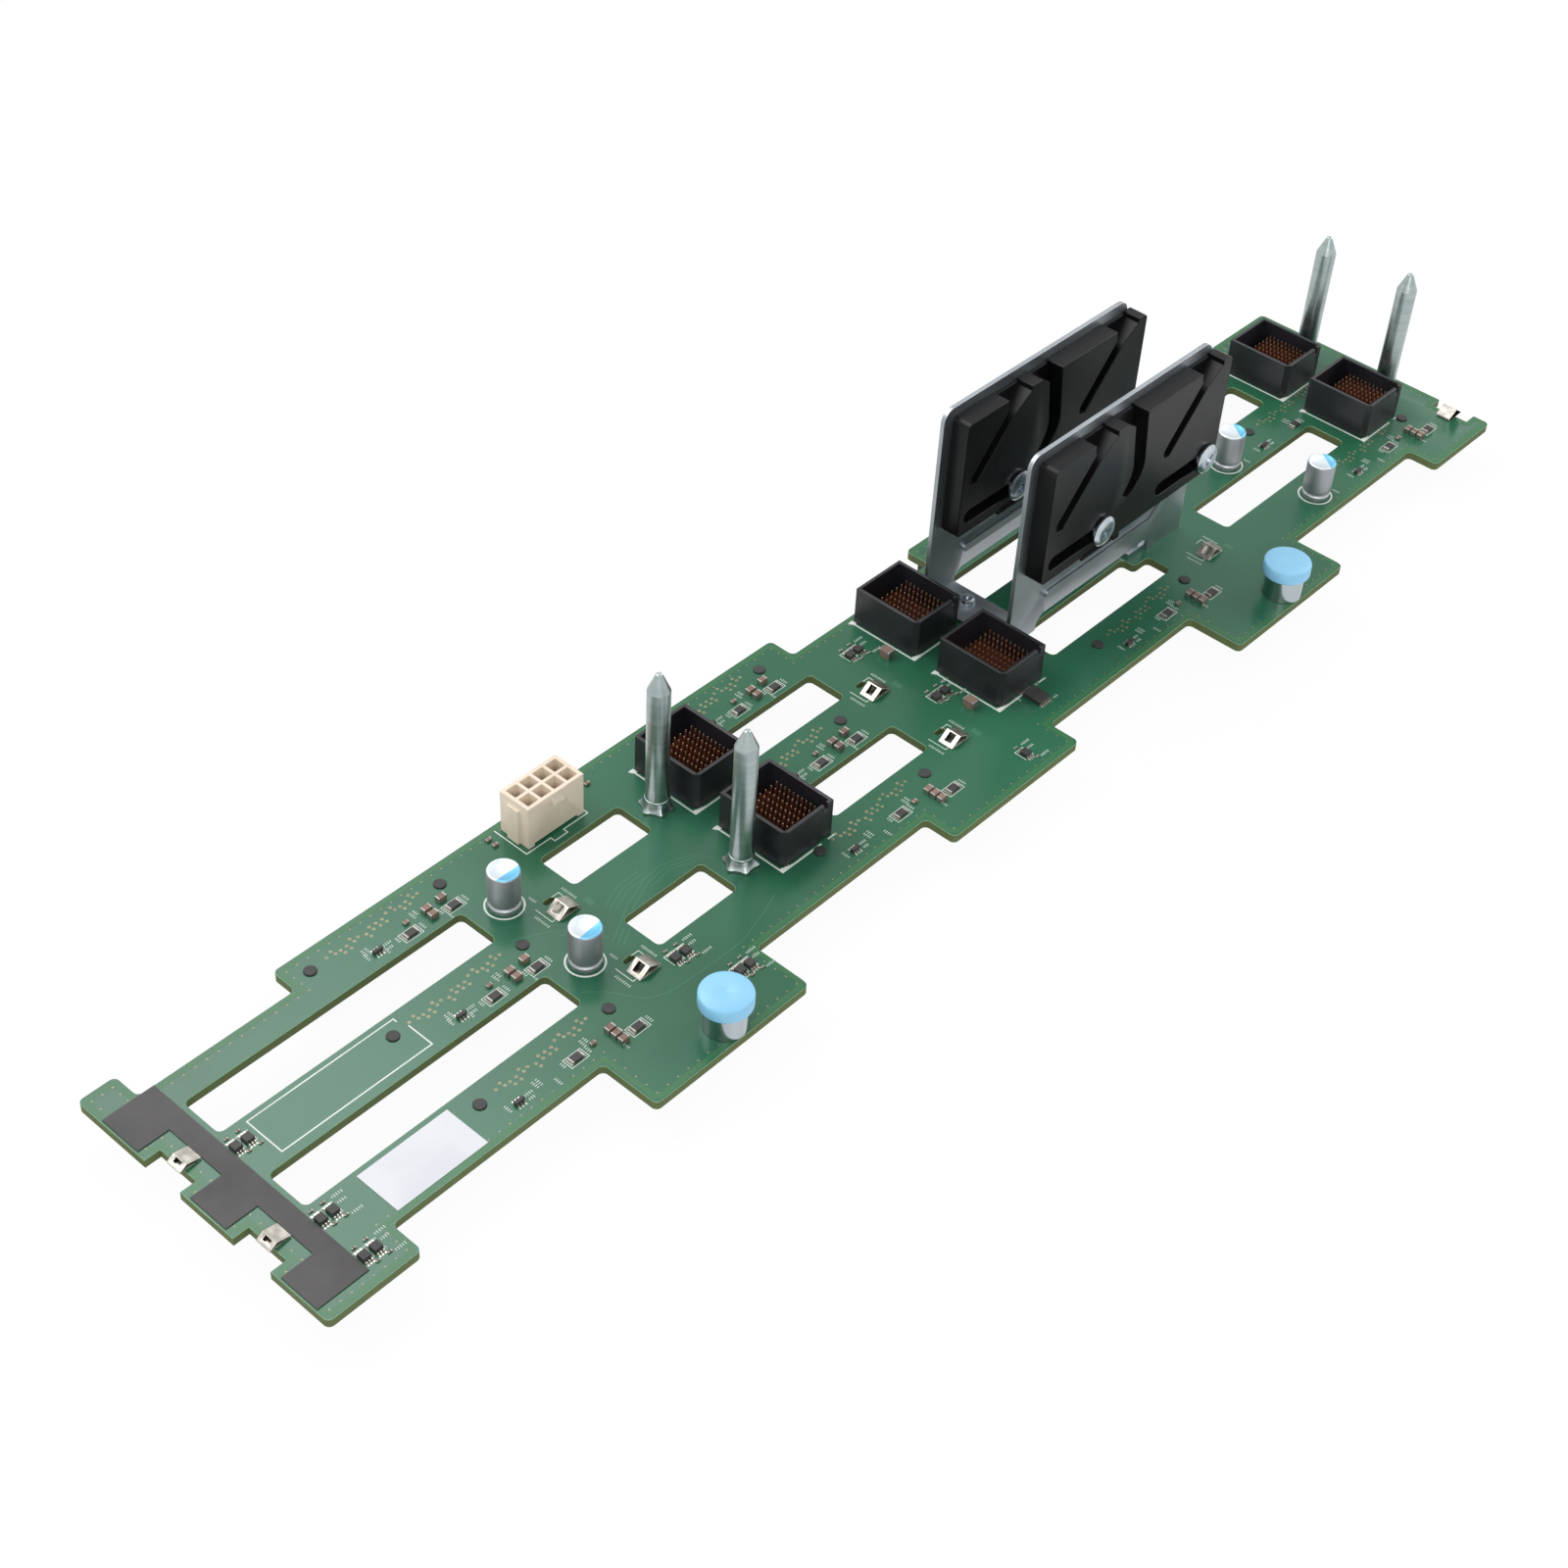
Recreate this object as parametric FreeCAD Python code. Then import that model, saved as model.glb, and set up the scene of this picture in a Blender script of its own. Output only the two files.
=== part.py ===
import FreeCAD, Part
import math
import os
from FreeCAD import Vector

# Rear-face view of a twelve-bay drive backplane, lying on its drive connectors.
# X runs along the board, Y across the three rows of bays, Z up from the connectors' open faces.
# The origin is under the middle of the whole part's box. All sizes are millimetres.

os.makedirs("parts", exist_ok=True)

# Board blank
board_length = 440.8
board_depth = 87.5
board_thickness = 2.4
corner_radius = 1.5
upper_step_depth = 7.8
left_step = (9.8, 42.7)
middle_step = (-59.8, 54.3)
lower_edge_inset = 16.2
corner_tab_depth = 9.1
corner_tab_left_length = 24.6
corner_tab_right_length = 29.3
release_tab_length = 48.9
middle_tab_length = 48.8

# Grid of bays; the columns share out the board's length between its two end margins
first_peg_inset = 58.5
last_peg_inset = 55.3
row_pitch = 27.5
row_c_y = -17.05
bay_count = 4
row_letters = ("c", "b", "a")
tab_offset_from_peg = 50.8

# Vent slots: each end is placed from a column's first peg, each row from the row of pegs under it
slot_height = 11.9
slot_offset_y = 5.4
slot_spans = (("1", -43.2, "1", 35.8), ("1", 60.2, "2", -22.7), ("2", 11.4, "3", -62.5),
              ("3", -12.0, "3", 39.8), ("3", 66.4, "4", 16.0))
ear_slot = 3
ear_width = 6.0
ear_depth = 4.2

# End notches for the grounding clips
notch_length = 11.7
notch_depth = 4.1
left_notch_ys = (15.25, -13.3)
right_notch_y = -25.5

# Drive connectors under the board
connector_length = 44.6
connector_width = 6.6
connector_height = 8.4
key_slot_width = 2.4
key_slot_depth = 5.8
signal_slot_length = 14.6
power_slot_length = 23.4
key_wall = 1.6
peg_spacing = 38.6
peg_diameter = 2.8
peg_stand = 0.4
peg_clearance = 0.1
post_sides = 8

# Signal headers
header_width = 17.2
header_depth = 20.6
header_height = 11.0
header_wall = 0.95
header_floor = 1.6
header_corner = 1.3
header_places = (("2", -10.7), ("3", -38.4), ("4", 21.3))
header_b_y = -14.8
header_row_pitch = 28.1
key_notch_width = 1.3
key_notch_depth = 2.2
pin_columns = 7
pin_rows = 10
pin_column_pitch = 1.95
pin_row_pitch = 1.35
pin_width = 0.6
pin_sides = 3
pin_field_shift = (0.3, -0.6)
pin_tip_height = 8.0

# Guide pins beside the headers
guide_pin_diameter = 5.75
guide_pin_height = 41.7
guide_pin_cone = 5.0
guide_pin_tip_diameter = 1.6
guide_foot_across = 7.9
guide_foot_height = 0.9
guide_flare_height = 2.2
guide_flare_share = 0.35
guide_flare_grow = 0.4
guide_collar_diameter = 6.1
guide_collar_height = 0.4
guide_tail_diameter = 3.4
guide_tail_recess = 0.2
guide_tail_clearance = 0.05
guide_header_gap = 5.5
guide_pin_b_y = -6.5

# Power connector
power_length = 18.0
power_width = 9.6
power_height = 12.6
power_place = ("1", 61.0, 31.75)
power_ramp_width = 3.6
power_ramp_outline = ((0, 0.6), (-1.3, 1.9), (-1.3, 2.5), (0, 2.5), (0, 0.6))
power_rib_depth = 3.8
power_rib_drop = 2.0
power_foot_inset = 2.0
power_ways = 4
power_pitch = 4.2
power_cell = 3.3
power_cell_floor = 2.4
power_rib = 0.7
power_foot_gap = 0.8
power_pin_side = 1.1
power_pin_height = 10.0

# Capacitor cans
can_diameter = 8.0
can_height = 11.5
can_bead_height = 1.2
can_bead_depth = 0.4
can_places = (("1", 44.5, 22.55), ("1", 45.0, -3.25), ("4", -17.9, 6.05), ("4", -11.7, -20.05))

# Release pins
release_offset_x = 2.5
release_y = -38.4
knob_diameter = 12.8
knob_thickness = 3.7
knob_edge = 0.5
barrel_diameter = 10.6
barrel_height = 6.9
barrel_neck_diameter = 8.6
barrel_neck_below = 1.2
neck_clearance = 0.1
plunger_diameter = 5.0
plunger_clearance = 0.1
nose_diameter = 4.4
nose_reach = 5.0
nose_chamfer = 0.9

# Guide bracket, one folded sheet
sheet_thickness = 1.2
bend_radius = 1.6
bracket_from_peg = -19.0
wall_length = 76.4
wall_height = 60.0
wall_corner_radius = 3.5
wall_front_y = -1.75
strap_width = 11.6
leg_width = 11.8
arch_height = 4.4
arch_corner_radius = 3.5
foot_length = 15.4
flange_depth = 6.6
tongue_length = 6.6
board_screw_x = 2.9
board_screw_y = 3.65
bead_width = 2.6
bead_depth = 0.8
bead_height = 10.8
bead_start = 15.0
bead_end = 59.0
bead_turn = 5.0
bead_rise = 4.0

# Cam plates
cam_length = 75.0
cam_bottom = 22.0
cam_height = 35.2
cam_thickness = 5.3
cam_start = 3.4
cam_face_gap = 0.05
cam_travel = 20.0
groove_width = 3.8
groove_pitch = 45.6
groove_end = (5.2, 16.7)
groove_knee = (18.1, 31.0)
mouth_start = 16.2
mouth_width = 9.3
mouth_depth = 1.4
channel_width = 5.3
channel_mouth_start = 29.7
channel_mouth_width = 8.2
channel_waist = (34.6, 22.2)
channel_foot = (31.7, 12.4)
channel_heel = (34.0, 10.5)
channel_lip = (1.6, 2.2)
channel_neck_drop = 2.0
channel_bow = (0.3, 6.0)
channel_heel_bow = (1.4, 3.4)
slot_screw_height = 5.3
cam_corner_radius = 1.5
rack_start = 17.5
rack_pitch = 0.8
rack_teeth = 16
rack_depth = 1.3
rack_face = 2.0
screw_first = 24.3

# Cam screws
screw_shank_diameter = 4.0
screw_slot_clearance = 0.12
screw_head_diameter = 8.4
screw_head_height = 1.6
screw_head_gap = 0.15
screw_tail_diameter = 3.0
screw_tail_length = 2.6

# Bracket screws
board_screw_head_diameter = 4.2
board_screw_head_height = 1.5
board_screw_shank_diameter = 2.2
board_screw_length = 4.4
board_screw_clearance = 0.1
strap_screw_inset = 7.0
strap_screw_drop = 9.4

# Grounding clips
clip_width = 4.4
clip_sheet = 0.25
clip_run = 3.2
clip_rise = 2.5
clip_window = 2.0
clip_window_start = 0.8
clip_tail_run = 3.6
clip_tail_drop = 1.9
end_clip_run = 2.0
end_clip_rise = 1.5
end_clip_overhang = 1.2
clip_hole = (1.5, 3.2)
clip_hole_offset = (3.2, 4.4)
inner_clips = (("1", 49.4, 11.95), ("1", 49.2, -14.05), ("3", -59.3, 11.55), ("3", -59.0, -14.05),
               ("3", 50.1, -14.55))
holed_clips = 4

# Insulator sheet and label
film_thickness = 0.3
film_left = 0.5
film_width = 13.4
film_top = 8.0
film_bottom = 10.9
film_cut_depth = 8.2
film_cut_height = 17.2
label_size = (25.0, 12.7)
label_inset = 27.7
label_y = -25.85
label_thickness = 0.15

# Surface-mounted pieces, placed from a bay's first peg
sense_size = (3.6, 2.0, 0.7)
ceramic_size = (2.4, 1.6, 1.5)
small_ceramic_size = (1.5, 1.0, 0.8)
sot_size = (2.6, 1.6, 1.1)
upper_bays = ("a1", "b1", "a2", "b2")
upper_sense = ((23.4, -7.1), (36.2, -7.3))
upper_ceramic = ((35.4, -3.9), (30.6, -4.3), (30.6, -6.6))
upper_small = ((24.7, -4.0),)
upper_sot = ((14.4, -6.2),)
lower_bays = ("c1", "c2", "c3", "c4")
lower_sense = ((23.4, -5.2), (39.2, -8.4))
lower_ceramic = ((34.2, -4.8), (34.2, -6.9), (34.2, -9.0))
lower_small = ((28.8, -4.9),)
lower_sot = ((6.2, -5.6),)
last_bays = ("b4",)
last_sense = ((12.9, -7.2),)
last_sot = ((-2.7, -7.0),)
chip_size = (2.2, 3.4, 1.2)
chip_pitch = 3.1
film_chip_gap = 0.3
film_chip_rows = (10.3, -16.6, -29.8)
chip_places = (("1", 59.8, -17.05), ("1", 63.0, -17.1), ("1", 67.2, -30.1), ("1", 70.3, -30.1),
               ("3", -49.8, 25.2), ("3", -46.6, 25.3), ("3", -46.5, -0.9), ("3", -43.1, -0.9),
               ("3", -47.2, -30.2))
long_chip_size = (4.4, 6.6, 1.3)
long_chip_place = ("3", -28.2, -18.6)
tall_ceramic_size = (2.6, 3.4, 2.4)
tall_ceramic_places = (("3", -42.9, 18.8), ("3", -42.7, -8.9))
loose_ceramic_places = (("1", 56.3, 40.6), ("1", 56.3, 38.2), ("1", 86.4, 38.2))

# Levels and rows that follow from the sizes above
board_bottom = connector_height
board_top = board_bottom + board_thickness
half_length = board_length / 2
half_depth = board_depth / 2
row_y = {letter: row_c_y + i * row_pitch for i, letter in enumerate(row_letters)}
bay_pitch = (board_length - first_peg_inset - last_peg_inset) / (bay_count - 1)
column_x = {str(i + 1): first_peg_inset - half_length + i * bay_pitch for i in range(bay_count)}
bracket_x = column_x["3"] + bracket_from_peg
power_x = column_x[power_place[0]] + power_place[1]
power_y = power_place[2]
header_xs = [column_x[column] + offset for column, offset in header_places]
film_edge = film_left + film_width - half_length


def box(x0, y0, z0, dx, dy, dz):
    return Part.makeBox(dx, dy, dz, Vector(x0, y0, z0))


def from_columns(places):
    """Places given as (column, offset along X, y), made into (x, y)."""
    return [(column_x[column] + offset, y) for column, offset, y in places]


def centred_box(x, y, z0, size):
    return box(x - size[0] / 2, y - size[1] / 2, z0, *size)


def rod(x, y, z0, diameter, height):
    return Part.makeCylinder(diameter / 2, height, Vector(x, y, z0))


def rod_y(x, y0, z, diameter, length):
    return Part.makeCylinder(diameter / 2, length, Vector(x, y0, z), Vector(0, 1, 0))


def plate(points, z0, thickness):
    corners = [Vector(x, y, z0) for x, y in points]
    face = Part.Face(Part.makePolygon(corners + corners[:1]))
    return face.extrude(Vector(0, 0, thickness))


def wall_plate(points, y0, thickness):
    """A flat plate parallel to XZ, from an outline of (x, z) points."""
    corners = [Vector(x, y0, z) for x, z in points]
    face = Part.Face(Part.makePolygon(corners + corners[:1]))
    return face.extrude(Vector(0, thickness, 0))


def post(x, y, z0, width, height, sides=post_sides):
    """A straight post with few sides, drawn round a circle of the width given."""
    r = width / 2 / math.cos(math.pi / sides)
    turns = [2 * math.pi * (i + 0.5) / sides for i in range(sides)]
    return plate([(x + r * math.cos(a), y + r * math.sin(a)) for a in turns], z0, height)


def post_y(x, y0, z, width, length):
    body = post(0, 0, 0, width, length)
    body.rotate(Vector(0, 0, 0), Vector(1, 0, 0), -90)
    body.translate(Vector(x, y0, z))
    return body


def turned(profile, x, y):
    """A solid turned about a vertical axis, from an outline of (radius, z) points."""
    corners = [Vector(x + r, y, z) for r, z in profile]
    face = Part.Face(Part.makePolygon(corners + corners[:1]))
    return face.revolve(Vector(x, y, 0), Vector(0, 0, 1), 360)


def edges_along(shape, axis, test=lambda middle: True):
    found = []
    for edge in shape.Edges:
        if len(edge.Vertexes) != 2 or not isinstance(edge.Curve, Part.Line):
            continue
        run = edge.Vertexes[1].Point - edge.Vertexes[0].Point
        if abs(abs(run.normalize().dot(axis)) - 1) < 1e-6 and test(edge.CenterOfMass):
            found.append(edge)
    return found


def rounded(shape, axis, radius, test=lambda middle: True):
    return shape.makeFillet(radius, edges_along(shape, axis, test))


def slot_bar(start, end, width, y0, thickness):
    """A bar with round ends from one (x, z) point to another, parallel to XZ."""
    run = Vector(end[0] - start[0], 0, end[1] - start[1])
    length = run.Length
    turn = math.degrees(math.atan2(run.z, run.x))
    bar = Part.makeBox(length, thickness, width, Vector(0, 0, -width / 2))
    bar = bar.fuse([rod_y(0, 0, 0, width, thickness), rod_y(length, 0, 0, width, thickness)])
    bar = bar.removeSplitter()
    bar.rotate(Vector(0, 0, 0), Vector(0, 1, 0), -turn)
    bar.translate(Vector(start[0], y0, start[1]))
    return bar


def joined(pieces):
    return pieces[0].fuse(pieces[1:]).removeSplitter() if len(pieces) > 1 else pieces[0]


def knob_overhang():
    return max(0, knob_diameter / 2 - release_y - half_depth)


def save(name, shape):
    shape.translate(Vector(0, knob_overhang() / 2, 0))
    shape.exportStep(f"parts/{name}.step")


def guide_pin_places():
    left = header_xs[0] - guide_header_gap
    right = header_xs[2] + header_width + guide_header_gap
    upper = guide_pin_b_y + row_pitch
    return ((left, upper), (left, guide_pin_b_y), (right, upper), (right, guide_pin_b_y))


def release_places():
    middles = [column_x[column] + tab_offset_from_peg for column in ("1", "3")]
    return [(x + release_offset_x, release_y) for x in middles]


def strap_screw_place():
    return bracket_x + strap_screw_inset, rear_wall_y() + sheet_thickness - strap_screw_drop


def rear_wall_y():
    return wall_front_y + row_pitch


def slot_rows():
    return [row_y["c"] + slot_offset_y, row_y["b"] + slot_offset_y]


def foot_screw_places():
    x = bracket_x + wall_length - foot_length - board_screw_x
    return [(x, wall_y + board_screw_y) for wall_y in (wall_front_y, rear_wall_y())]


def board_outline():
    top = half_depth
    step = top - upper_step_depth
    low = -half_depth + lower_edge_inset
    corner = low - corner_tab_depth
    left, right = -half_length, half_length
    points = [(left, top), (left + left_step[0], top), (left + left_step[0], step)]
    x = left + left_step[0] + left_step[1]
    points += [(x, step), (x, top)]
    x = column_x["3"] + middle_step[0]
    points += [(x, top), (x, step), (x + middle_step[1], step), (x + middle_step[1], top)]
    points += [(right, top), (right, corner), (right - corner_tab_right_length, corner)]
    points += [(right - corner_tab_right_length, low)]
    for column in ("3", "2", "1"):
        middle = column_x[column] + tab_offset_from_peg
        length = middle_tab_length if column == "2" else release_tab_length
        bottom = corner if column == "2" else -half_depth
        points += [(middle + length / 2, low), (middle + length / 2, bottom)]
        points += [(middle - length / 2, bottom), (middle - length / 2, low)]
    points += [(left + corner_tab_left_length, low), (left + corner_tab_left_length, corner)]
    return points + [(left, corner)]


def circuit_board():
    board = plate(board_outline(), board_bottom, board_thickness)
    board = rounded(board, Vector(0, 0, 1), corner_radius)
    cuts = []
    for y in left_notch_ys:
        cuts.append(box(-half_length, y - notch_length / 2, board_bottom,
                        notch_depth, notch_length, board_thickness))
    cuts.append(box(half_length - notch_depth, right_notch_y - notch_length / 2, board_bottom,
                    notch_depth, notch_length, board_thickness))
    for y in slot_rows():
        for number, (first, start, last, end) in enumerate(slot_spans):
            left = column_x[first] + start
            right = column_x[last] + end
            slot = box(left, y, board_bottom, right - left, slot_height, board_thickness)
            if number == ear_slot:
                slot = slot.cut(box(right - ear_width, y + slot_height - ear_depth, board_bottom,
                                    ear_width, ear_depth, board_thickness))
            cuts.append(rounded(slot, Vector(0, 0, 1), corner_radius))
    board = board.cut(cuts)
    holes = []
    for x in column_x.values():
        for y in row_y.values():
            for peg in (x, x + peg_spacing):
                holes.append(post(peg, y, board_bottom, peg_diameter + 2 * peg_clearance, board_thickness))
    for x, y in guide_pin_places():
        width = guide_tail_diameter + 2 * guide_tail_clearance
        holes.append(post(x, y, board_bottom, width, board_thickness))
    for x, y in release_places():
        diameter = barrel_neck_diameter + 2 * neck_clearance
        holes.append(rod(x, y, board_bottom, diameter, board_thickness))
    for x, y in [strap_screw_place()] + foot_screw_places():
        width = board_screw_shank_diameter + 2 * board_screw_clearance
        holes.append(post(x, y, board_bottom, width, board_thickness))
    for x, y in from_columns(inner_clips)[:holed_clips]:
        hole_x = x + clip_hole_offset[0]
        hole_y = y + clip_hole_offset[1]
        a, b = clip_hole[0] / 2, clip_hole[1] / 2
        outline = [(-b, -a / 2), (-b + a / 2, -a), (b - a / 2, -a), (b, -a / 2),
                   (b, a / 2), (b - a / 2, a), (-b + a / 2, a), (-b, a / 2)]
        holes.append(plate([(hole_x + u, hole_y + v) for u, v in outline], board_bottom, board_thickness))
    return board.cut(holes)


def drive_connector(x, y):
    """A receptacle with its open face down, two key slots and two locating pegs."""
    middle = x + peg_spacing / 2
    body = centred_box(middle, y, 0, (connector_length, connector_width, connector_height))
    start = middle - (signal_slot_length + key_wall + power_slot_length) / 2
    cuts = [box(start, y - key_slot_width / 2, 0, signal_slot_length, key_slot_width, key_slot_depth)]
    start += signal_slot_length + key_wall
    cuts.append(box(start, y - key_slot_width / 2, 0, power_slot_length, key_slot_width, key_slot_depth))
    body = body.cut(cuts)
    peg_height = board_thickness + peg_stand
    pegs = [post(peg, y, connector_height, peg_diameter, peg_height) for peg in (x, x + peg_spacing)]
    return body.fuse(pegs)


def signal_header(x, y):
    """An open-topped shroud with a floor, a key notch and one cut corner at its foot."""
    body = box(x, y, board_top, header_width, header_depth, header_height)
    corner_test = lambda middle: middle.x < x + header_wall and middle.y < y + header_wall
    body = body.makeChamfer(header_corner, edges_along(body, Vector(0, 0, 1), corner_test))
    cavity = box(x + header_wall, y + header_wall, board_top + header_floor,
                 header_width - 2 * header_wall, header_depth - 2 * header_wall, header_height)
    notch_x = x + header_width - 2 * header_wall - key_notch_width
    notch = box(notch_x, y, board_top + header_height - key_notch_depth,
                key_notch_width, header_wall, key_notch_depth)
    return body.cut([cavity, notch])


def header_pins(x, y):
    """The contact field, standing on the shroud's floor; each pin has three sides to stay light."""
    x0 = x + header_width / 2 - (pin_columns - 1) * pin_column_pitch / 2 + pin_field_shift[0]
    y0 = y + header_depth / 2 - (pin_rows - 1) * pin_row_pitch / 2 + pin_field_shift[1]
    base = board_top + header_floor
    height = pin_tip_height - header_floor
    pins = []
    for i in range(pin_columns):
        for j in range(pin_rows):
            pin_x = x0 + i * pin_column_pitch
            pin_y = y0 + j * pin_row_pitch
            pins.append(post(pin_x, pin_y, base, pin_width / 2, height, pin_sides))
    return Part.makeCompound(pins)


def hexagon(x, y, z, radius):
    turns = [math.radians(60 * i) for i in range(7)]
    return Part.makePolygon([Vector(x + radius * math.cos(a), y + radius * math.sin(a), z) for a in turns])


def guide_pin(x, y):
    """A turned pin with a conical tip, a collar, a six-sided foot with hollow flanks and a tail."""
    r = guide_pin_diameter / 2
    collar = guide_collar_diameter / 2
    foot = guide_foot_across / math.sqrt(3)
    z = board_top
    tip = z + guide_pin_height
    flare_top = guide_foot_height + guide_flare_height
    collar_top = z + flare_top + guide_collar_height
    profile = [(0, z + guide_foot_height), (collar, z + guide_foot_height), (collar, collar_top),
               (r, collar_top), (r, tip - guide_pin_cone), (guide_pin_tip_diameter / 2, tip), (0, tip)]
    body = turned(profile, x, y)
    waist = guide_foot_height + guide_flare_share * guide_flare_height
    levels = ((0, foot), (guide_foot_height, foot), (waist, collar + guide_flare_grow * (foot - collar)),
              (flare_top, collar))
    body = body.fuse(Part.makeLoft([hexagon(x, y, z + h, a) for h, a in levels], True, True))
    depth = board_thickness - guide_tail_recess
    return body.fuse(post(x, y, z - depth, guide_tail_diameter, depth)).removeSplitter()


def power_connector():
    x, y = power_x, power_y
    body = box(x, y, board_top, power_length, power_width, power_height)
    cuts = []
    first = x + power_length / 2 - (power_ways - 1) * power_pitch / 2
    for i in range(power_ways):
        for side in (-1, 1):
            middle = y + power_width / 2 + side * power_pitch / 2
            cell = centred_box(first + i * power_pitch, middle, board_top + power_cell_floor,
                               (power_cell, power_cell, power_height))
            cuts.append(cell)
    cuts.append(box(x + power_foot_inset, y, board_top, power_length - 2 * power_foot_inset,
                    power_width, power_foot_gap))
    body = body.cut(cuts)
    top = board_top + power_height
    ramp_x = x + (power_length - power_ramp_width) / 2
    ramp = Part.Face(Part.makePolygon([Vector(ramp_x, y + a, top - b) for a, b in power_ramp_outline]))
    ramp = ramp.extrude(Vector(power_ramp_width, 0, 0))
    rib = box(x - power_rib, y + (power_width - power_rib_depth) / 2, board_top,
              power_rib, power_rib_depth, power_height - power_rib_drop)
    return body.fuse([ramp, rib]).removeSplitter()


def power_pins():
    x, y = power_x, power_y
    first = x + power_length / 2 - (power_ways - 1) * power_pitch / 2
    pins = []
    for i in range(power_ways):
        for side in (-1, 1):
            middle = y + power_width / 2 + side * power_pitch / 2
            size = (power_pin_side, power_pin_side, power_pin_height - power_cell_floor)
            pins.append(centred_box(first + i * power_pitch, middle, board_top + power_cell_floor, size))
    return Part.makeCompound(pins)


def bulk_capacitor(x, y):
    r = can_diameter / 2
    z = board_top
    profile = [(0, z), (r, z), (r - can_bead_depth, z + can_bead_height),
               (r, z + 2 * can_bead_height), (r, z + can_height), (0, z + can_height)]
    return turned(profile, x, y)


def release_barrel(x, y):
    """A turned sleeve that stands on the board, with its neck pressed through it."""
    low = board_bottom - barrel_neck_below
    top = board_top + barrel_height
    neck = barrel_neck_diameter / 2
    outer = barrel_diameter / 2
    bore = plunger_diameter / 2 + plunger_clearance
    return turned([(bore, low), (neck, low), (neck, board_top), (outer, board_top),
                   (outer, top), (bore, top)], x, y)


def release_plunger(x, y):
    """The pin that runs through the sleeve, from the knob down to a chamfered nose."""
    r = plunger_diameter / 2
    nose = nose_diameter / 2
    tip = board_bottom - nose_reach
    shoulder = board_bottom - barrel_neck_below
    top = board_top + barrel_height
    return turned([(0, tip), (nose - nose_chamfer, tip), (nose, tip + nose_chamfer), (nose, shoulder),
                   (r, shoulder), (r, top), (0, top)], x, y)


def release_knob(x, y):
    """A round cap on the plunger's end, resting on the sleeve."""
    z = board_top + barrel_height
    r = knob_diameter / 2
    top = z + knob_thickness
    return turned([(0, z), (r, z), (r, top - knob_edge), (r - knob_edge, top), (0, top)], x, y)


def bracket_wall(y):
    """One upright wall: a leg over the strap, an arch clear of the board, and a foot."""
    x = bracket_x
    z = board_top
    foot_start = wall_length - foot_length
    points = [(0, 0), (leg_width, 0), (leg_width, arch_height), (foot_start, arch_height),
              (foot_start, 0), (wall_length, 0), (wall_length, wall_height), (0, wall_height)]
    wall = wall_plate([(x + a, z + b) for a, b in points], y, sheet_thickness)
    top_test = lambda middle: middle.z > z + wall_height / 2
    wall = rounded(wall, Vector(0, 1, 0), wall_corner_radius, top_test)
    arch_test = lambda m: abs(m.x - x - leg_width) < 0.1 and abs(m.z - z - arch_height) < 0.1
    wall = rounded(wall, Vector(0, 1, 0), arch_corner_radius, arch_test)
    path = [(x + bead_start, z + bead_height), (x + bead_end, z + bead_height),
            (x + bead_end + bead_turn, z + bead_height + bead_rise)]
    bead = [slot_bar(path[i], path[i + 1], bead_width, y - bead_depth, bead_depth) for i in (0, 1)]
    width = screw_tail_diameter + 2 * screw_slot_clearance
    holes = [post_y(sx, y, sz, width, sheet_thickness) for sx, sz in cam_screw_places()]
    return wall.fuse(bead).removeSplitter().cut(holes)


def guide_bracket():
    """Both walls, the strap that joins them, and the flanges at their feet, folded from one sheet."""
    x = bracket_x
    z = board_top
    t = sheet_thickness
    rear = rear_wall_y()
    pieces = [bracket_wall(wall_front_y), bracket_wall(rear)]
    pieces.append(box(x, wall_front_y, z, strap_width, rear - wall_front_y + t, t))
    for y in (wall_front_y, rear):
        start = wall_length - foot_length - tongue_length
        pieces.append(box(x + start, y + t, z, wall_length - start, flange_depth - t, t))
    body = joined(pieces)
    width = board_screw_shank_diameter + 2 * board_screw_clearance
    holes = [post(a, b, z, width, t) for a, b in [strap_screw_place()] + foot_screw_places()]
    return body.cut(holes)


def cam_screw_places():
    z = board_top + cam_bottom + slot_screw_height
    first = bracket_x + cam_start + screw_first
    return ((first, z), (first + groove_pitch, z))


def xz_face(edges, y, thickness):
    return Part.Face(Part.Wire(edges)).extrude(Vector(0, thickness, 0))


def curved_channel(x, y, z):
    """The middle channel: a flared mouth, a leaning neck and a foot that curls back."""
    top = cam_height
    right = channel_waist[0] + channel_width
    point = lambda a, b: Vector(x + a, y, z + b)
    mouth_left = point(channel_mouth_start, top)
    mouth_right = point(channel_mouth_start + channel_mouth_width, top)
    lip_left = point(channel_waist[0] - channel_lip[0], top - channel_lip[1])
    waist_left = point(*channel_waist)
    foot_left = point(*channel_foot)
    heel = point(*channel_heel)
    neck_right = point(right, channel_waist[1] - channel_neck_drop)
    waist_bow = point(channel_waist[0] - channel_bow[0], channel_waist[1] - channel_bow[1])
    heel_bow = point(right - channel_heel_bow[0], channel_heel[1] + channel_heel_bow[1])
    edges = [Part.makeLine(mouth_left, lip_left), Part.makeLine(lip_left, waist_left)]
    edges.append(Part.Arc(waist_left, waist_bow, foot_left).toShape())
    edges.append(Part.makeLine(foot_left, heel))
    edges.append(Part.Arc(heel, heel_bow, neck_right).toShape())
    edges += [Part.makeLine(neck_right, mouth_right), Part.makeLine(mouth_right, mouth_left)]
    return xz_face(edges, y, cam_thickness)


def cam_rack(x, y, z):
    """The gaps between the fine teeth along the lower front edge of a cam plate."""
    gaps = []
    for i in range(rack_teeth):
        left = x + rack_start + i * rack_pitch
        corners = [(left, z), (left + rack_pitch / 2, z + rack_depth), (left + rack_pitch, z)]
        gaps.append(wall_plate(corners, y, rack_face))
    return gaps


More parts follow.
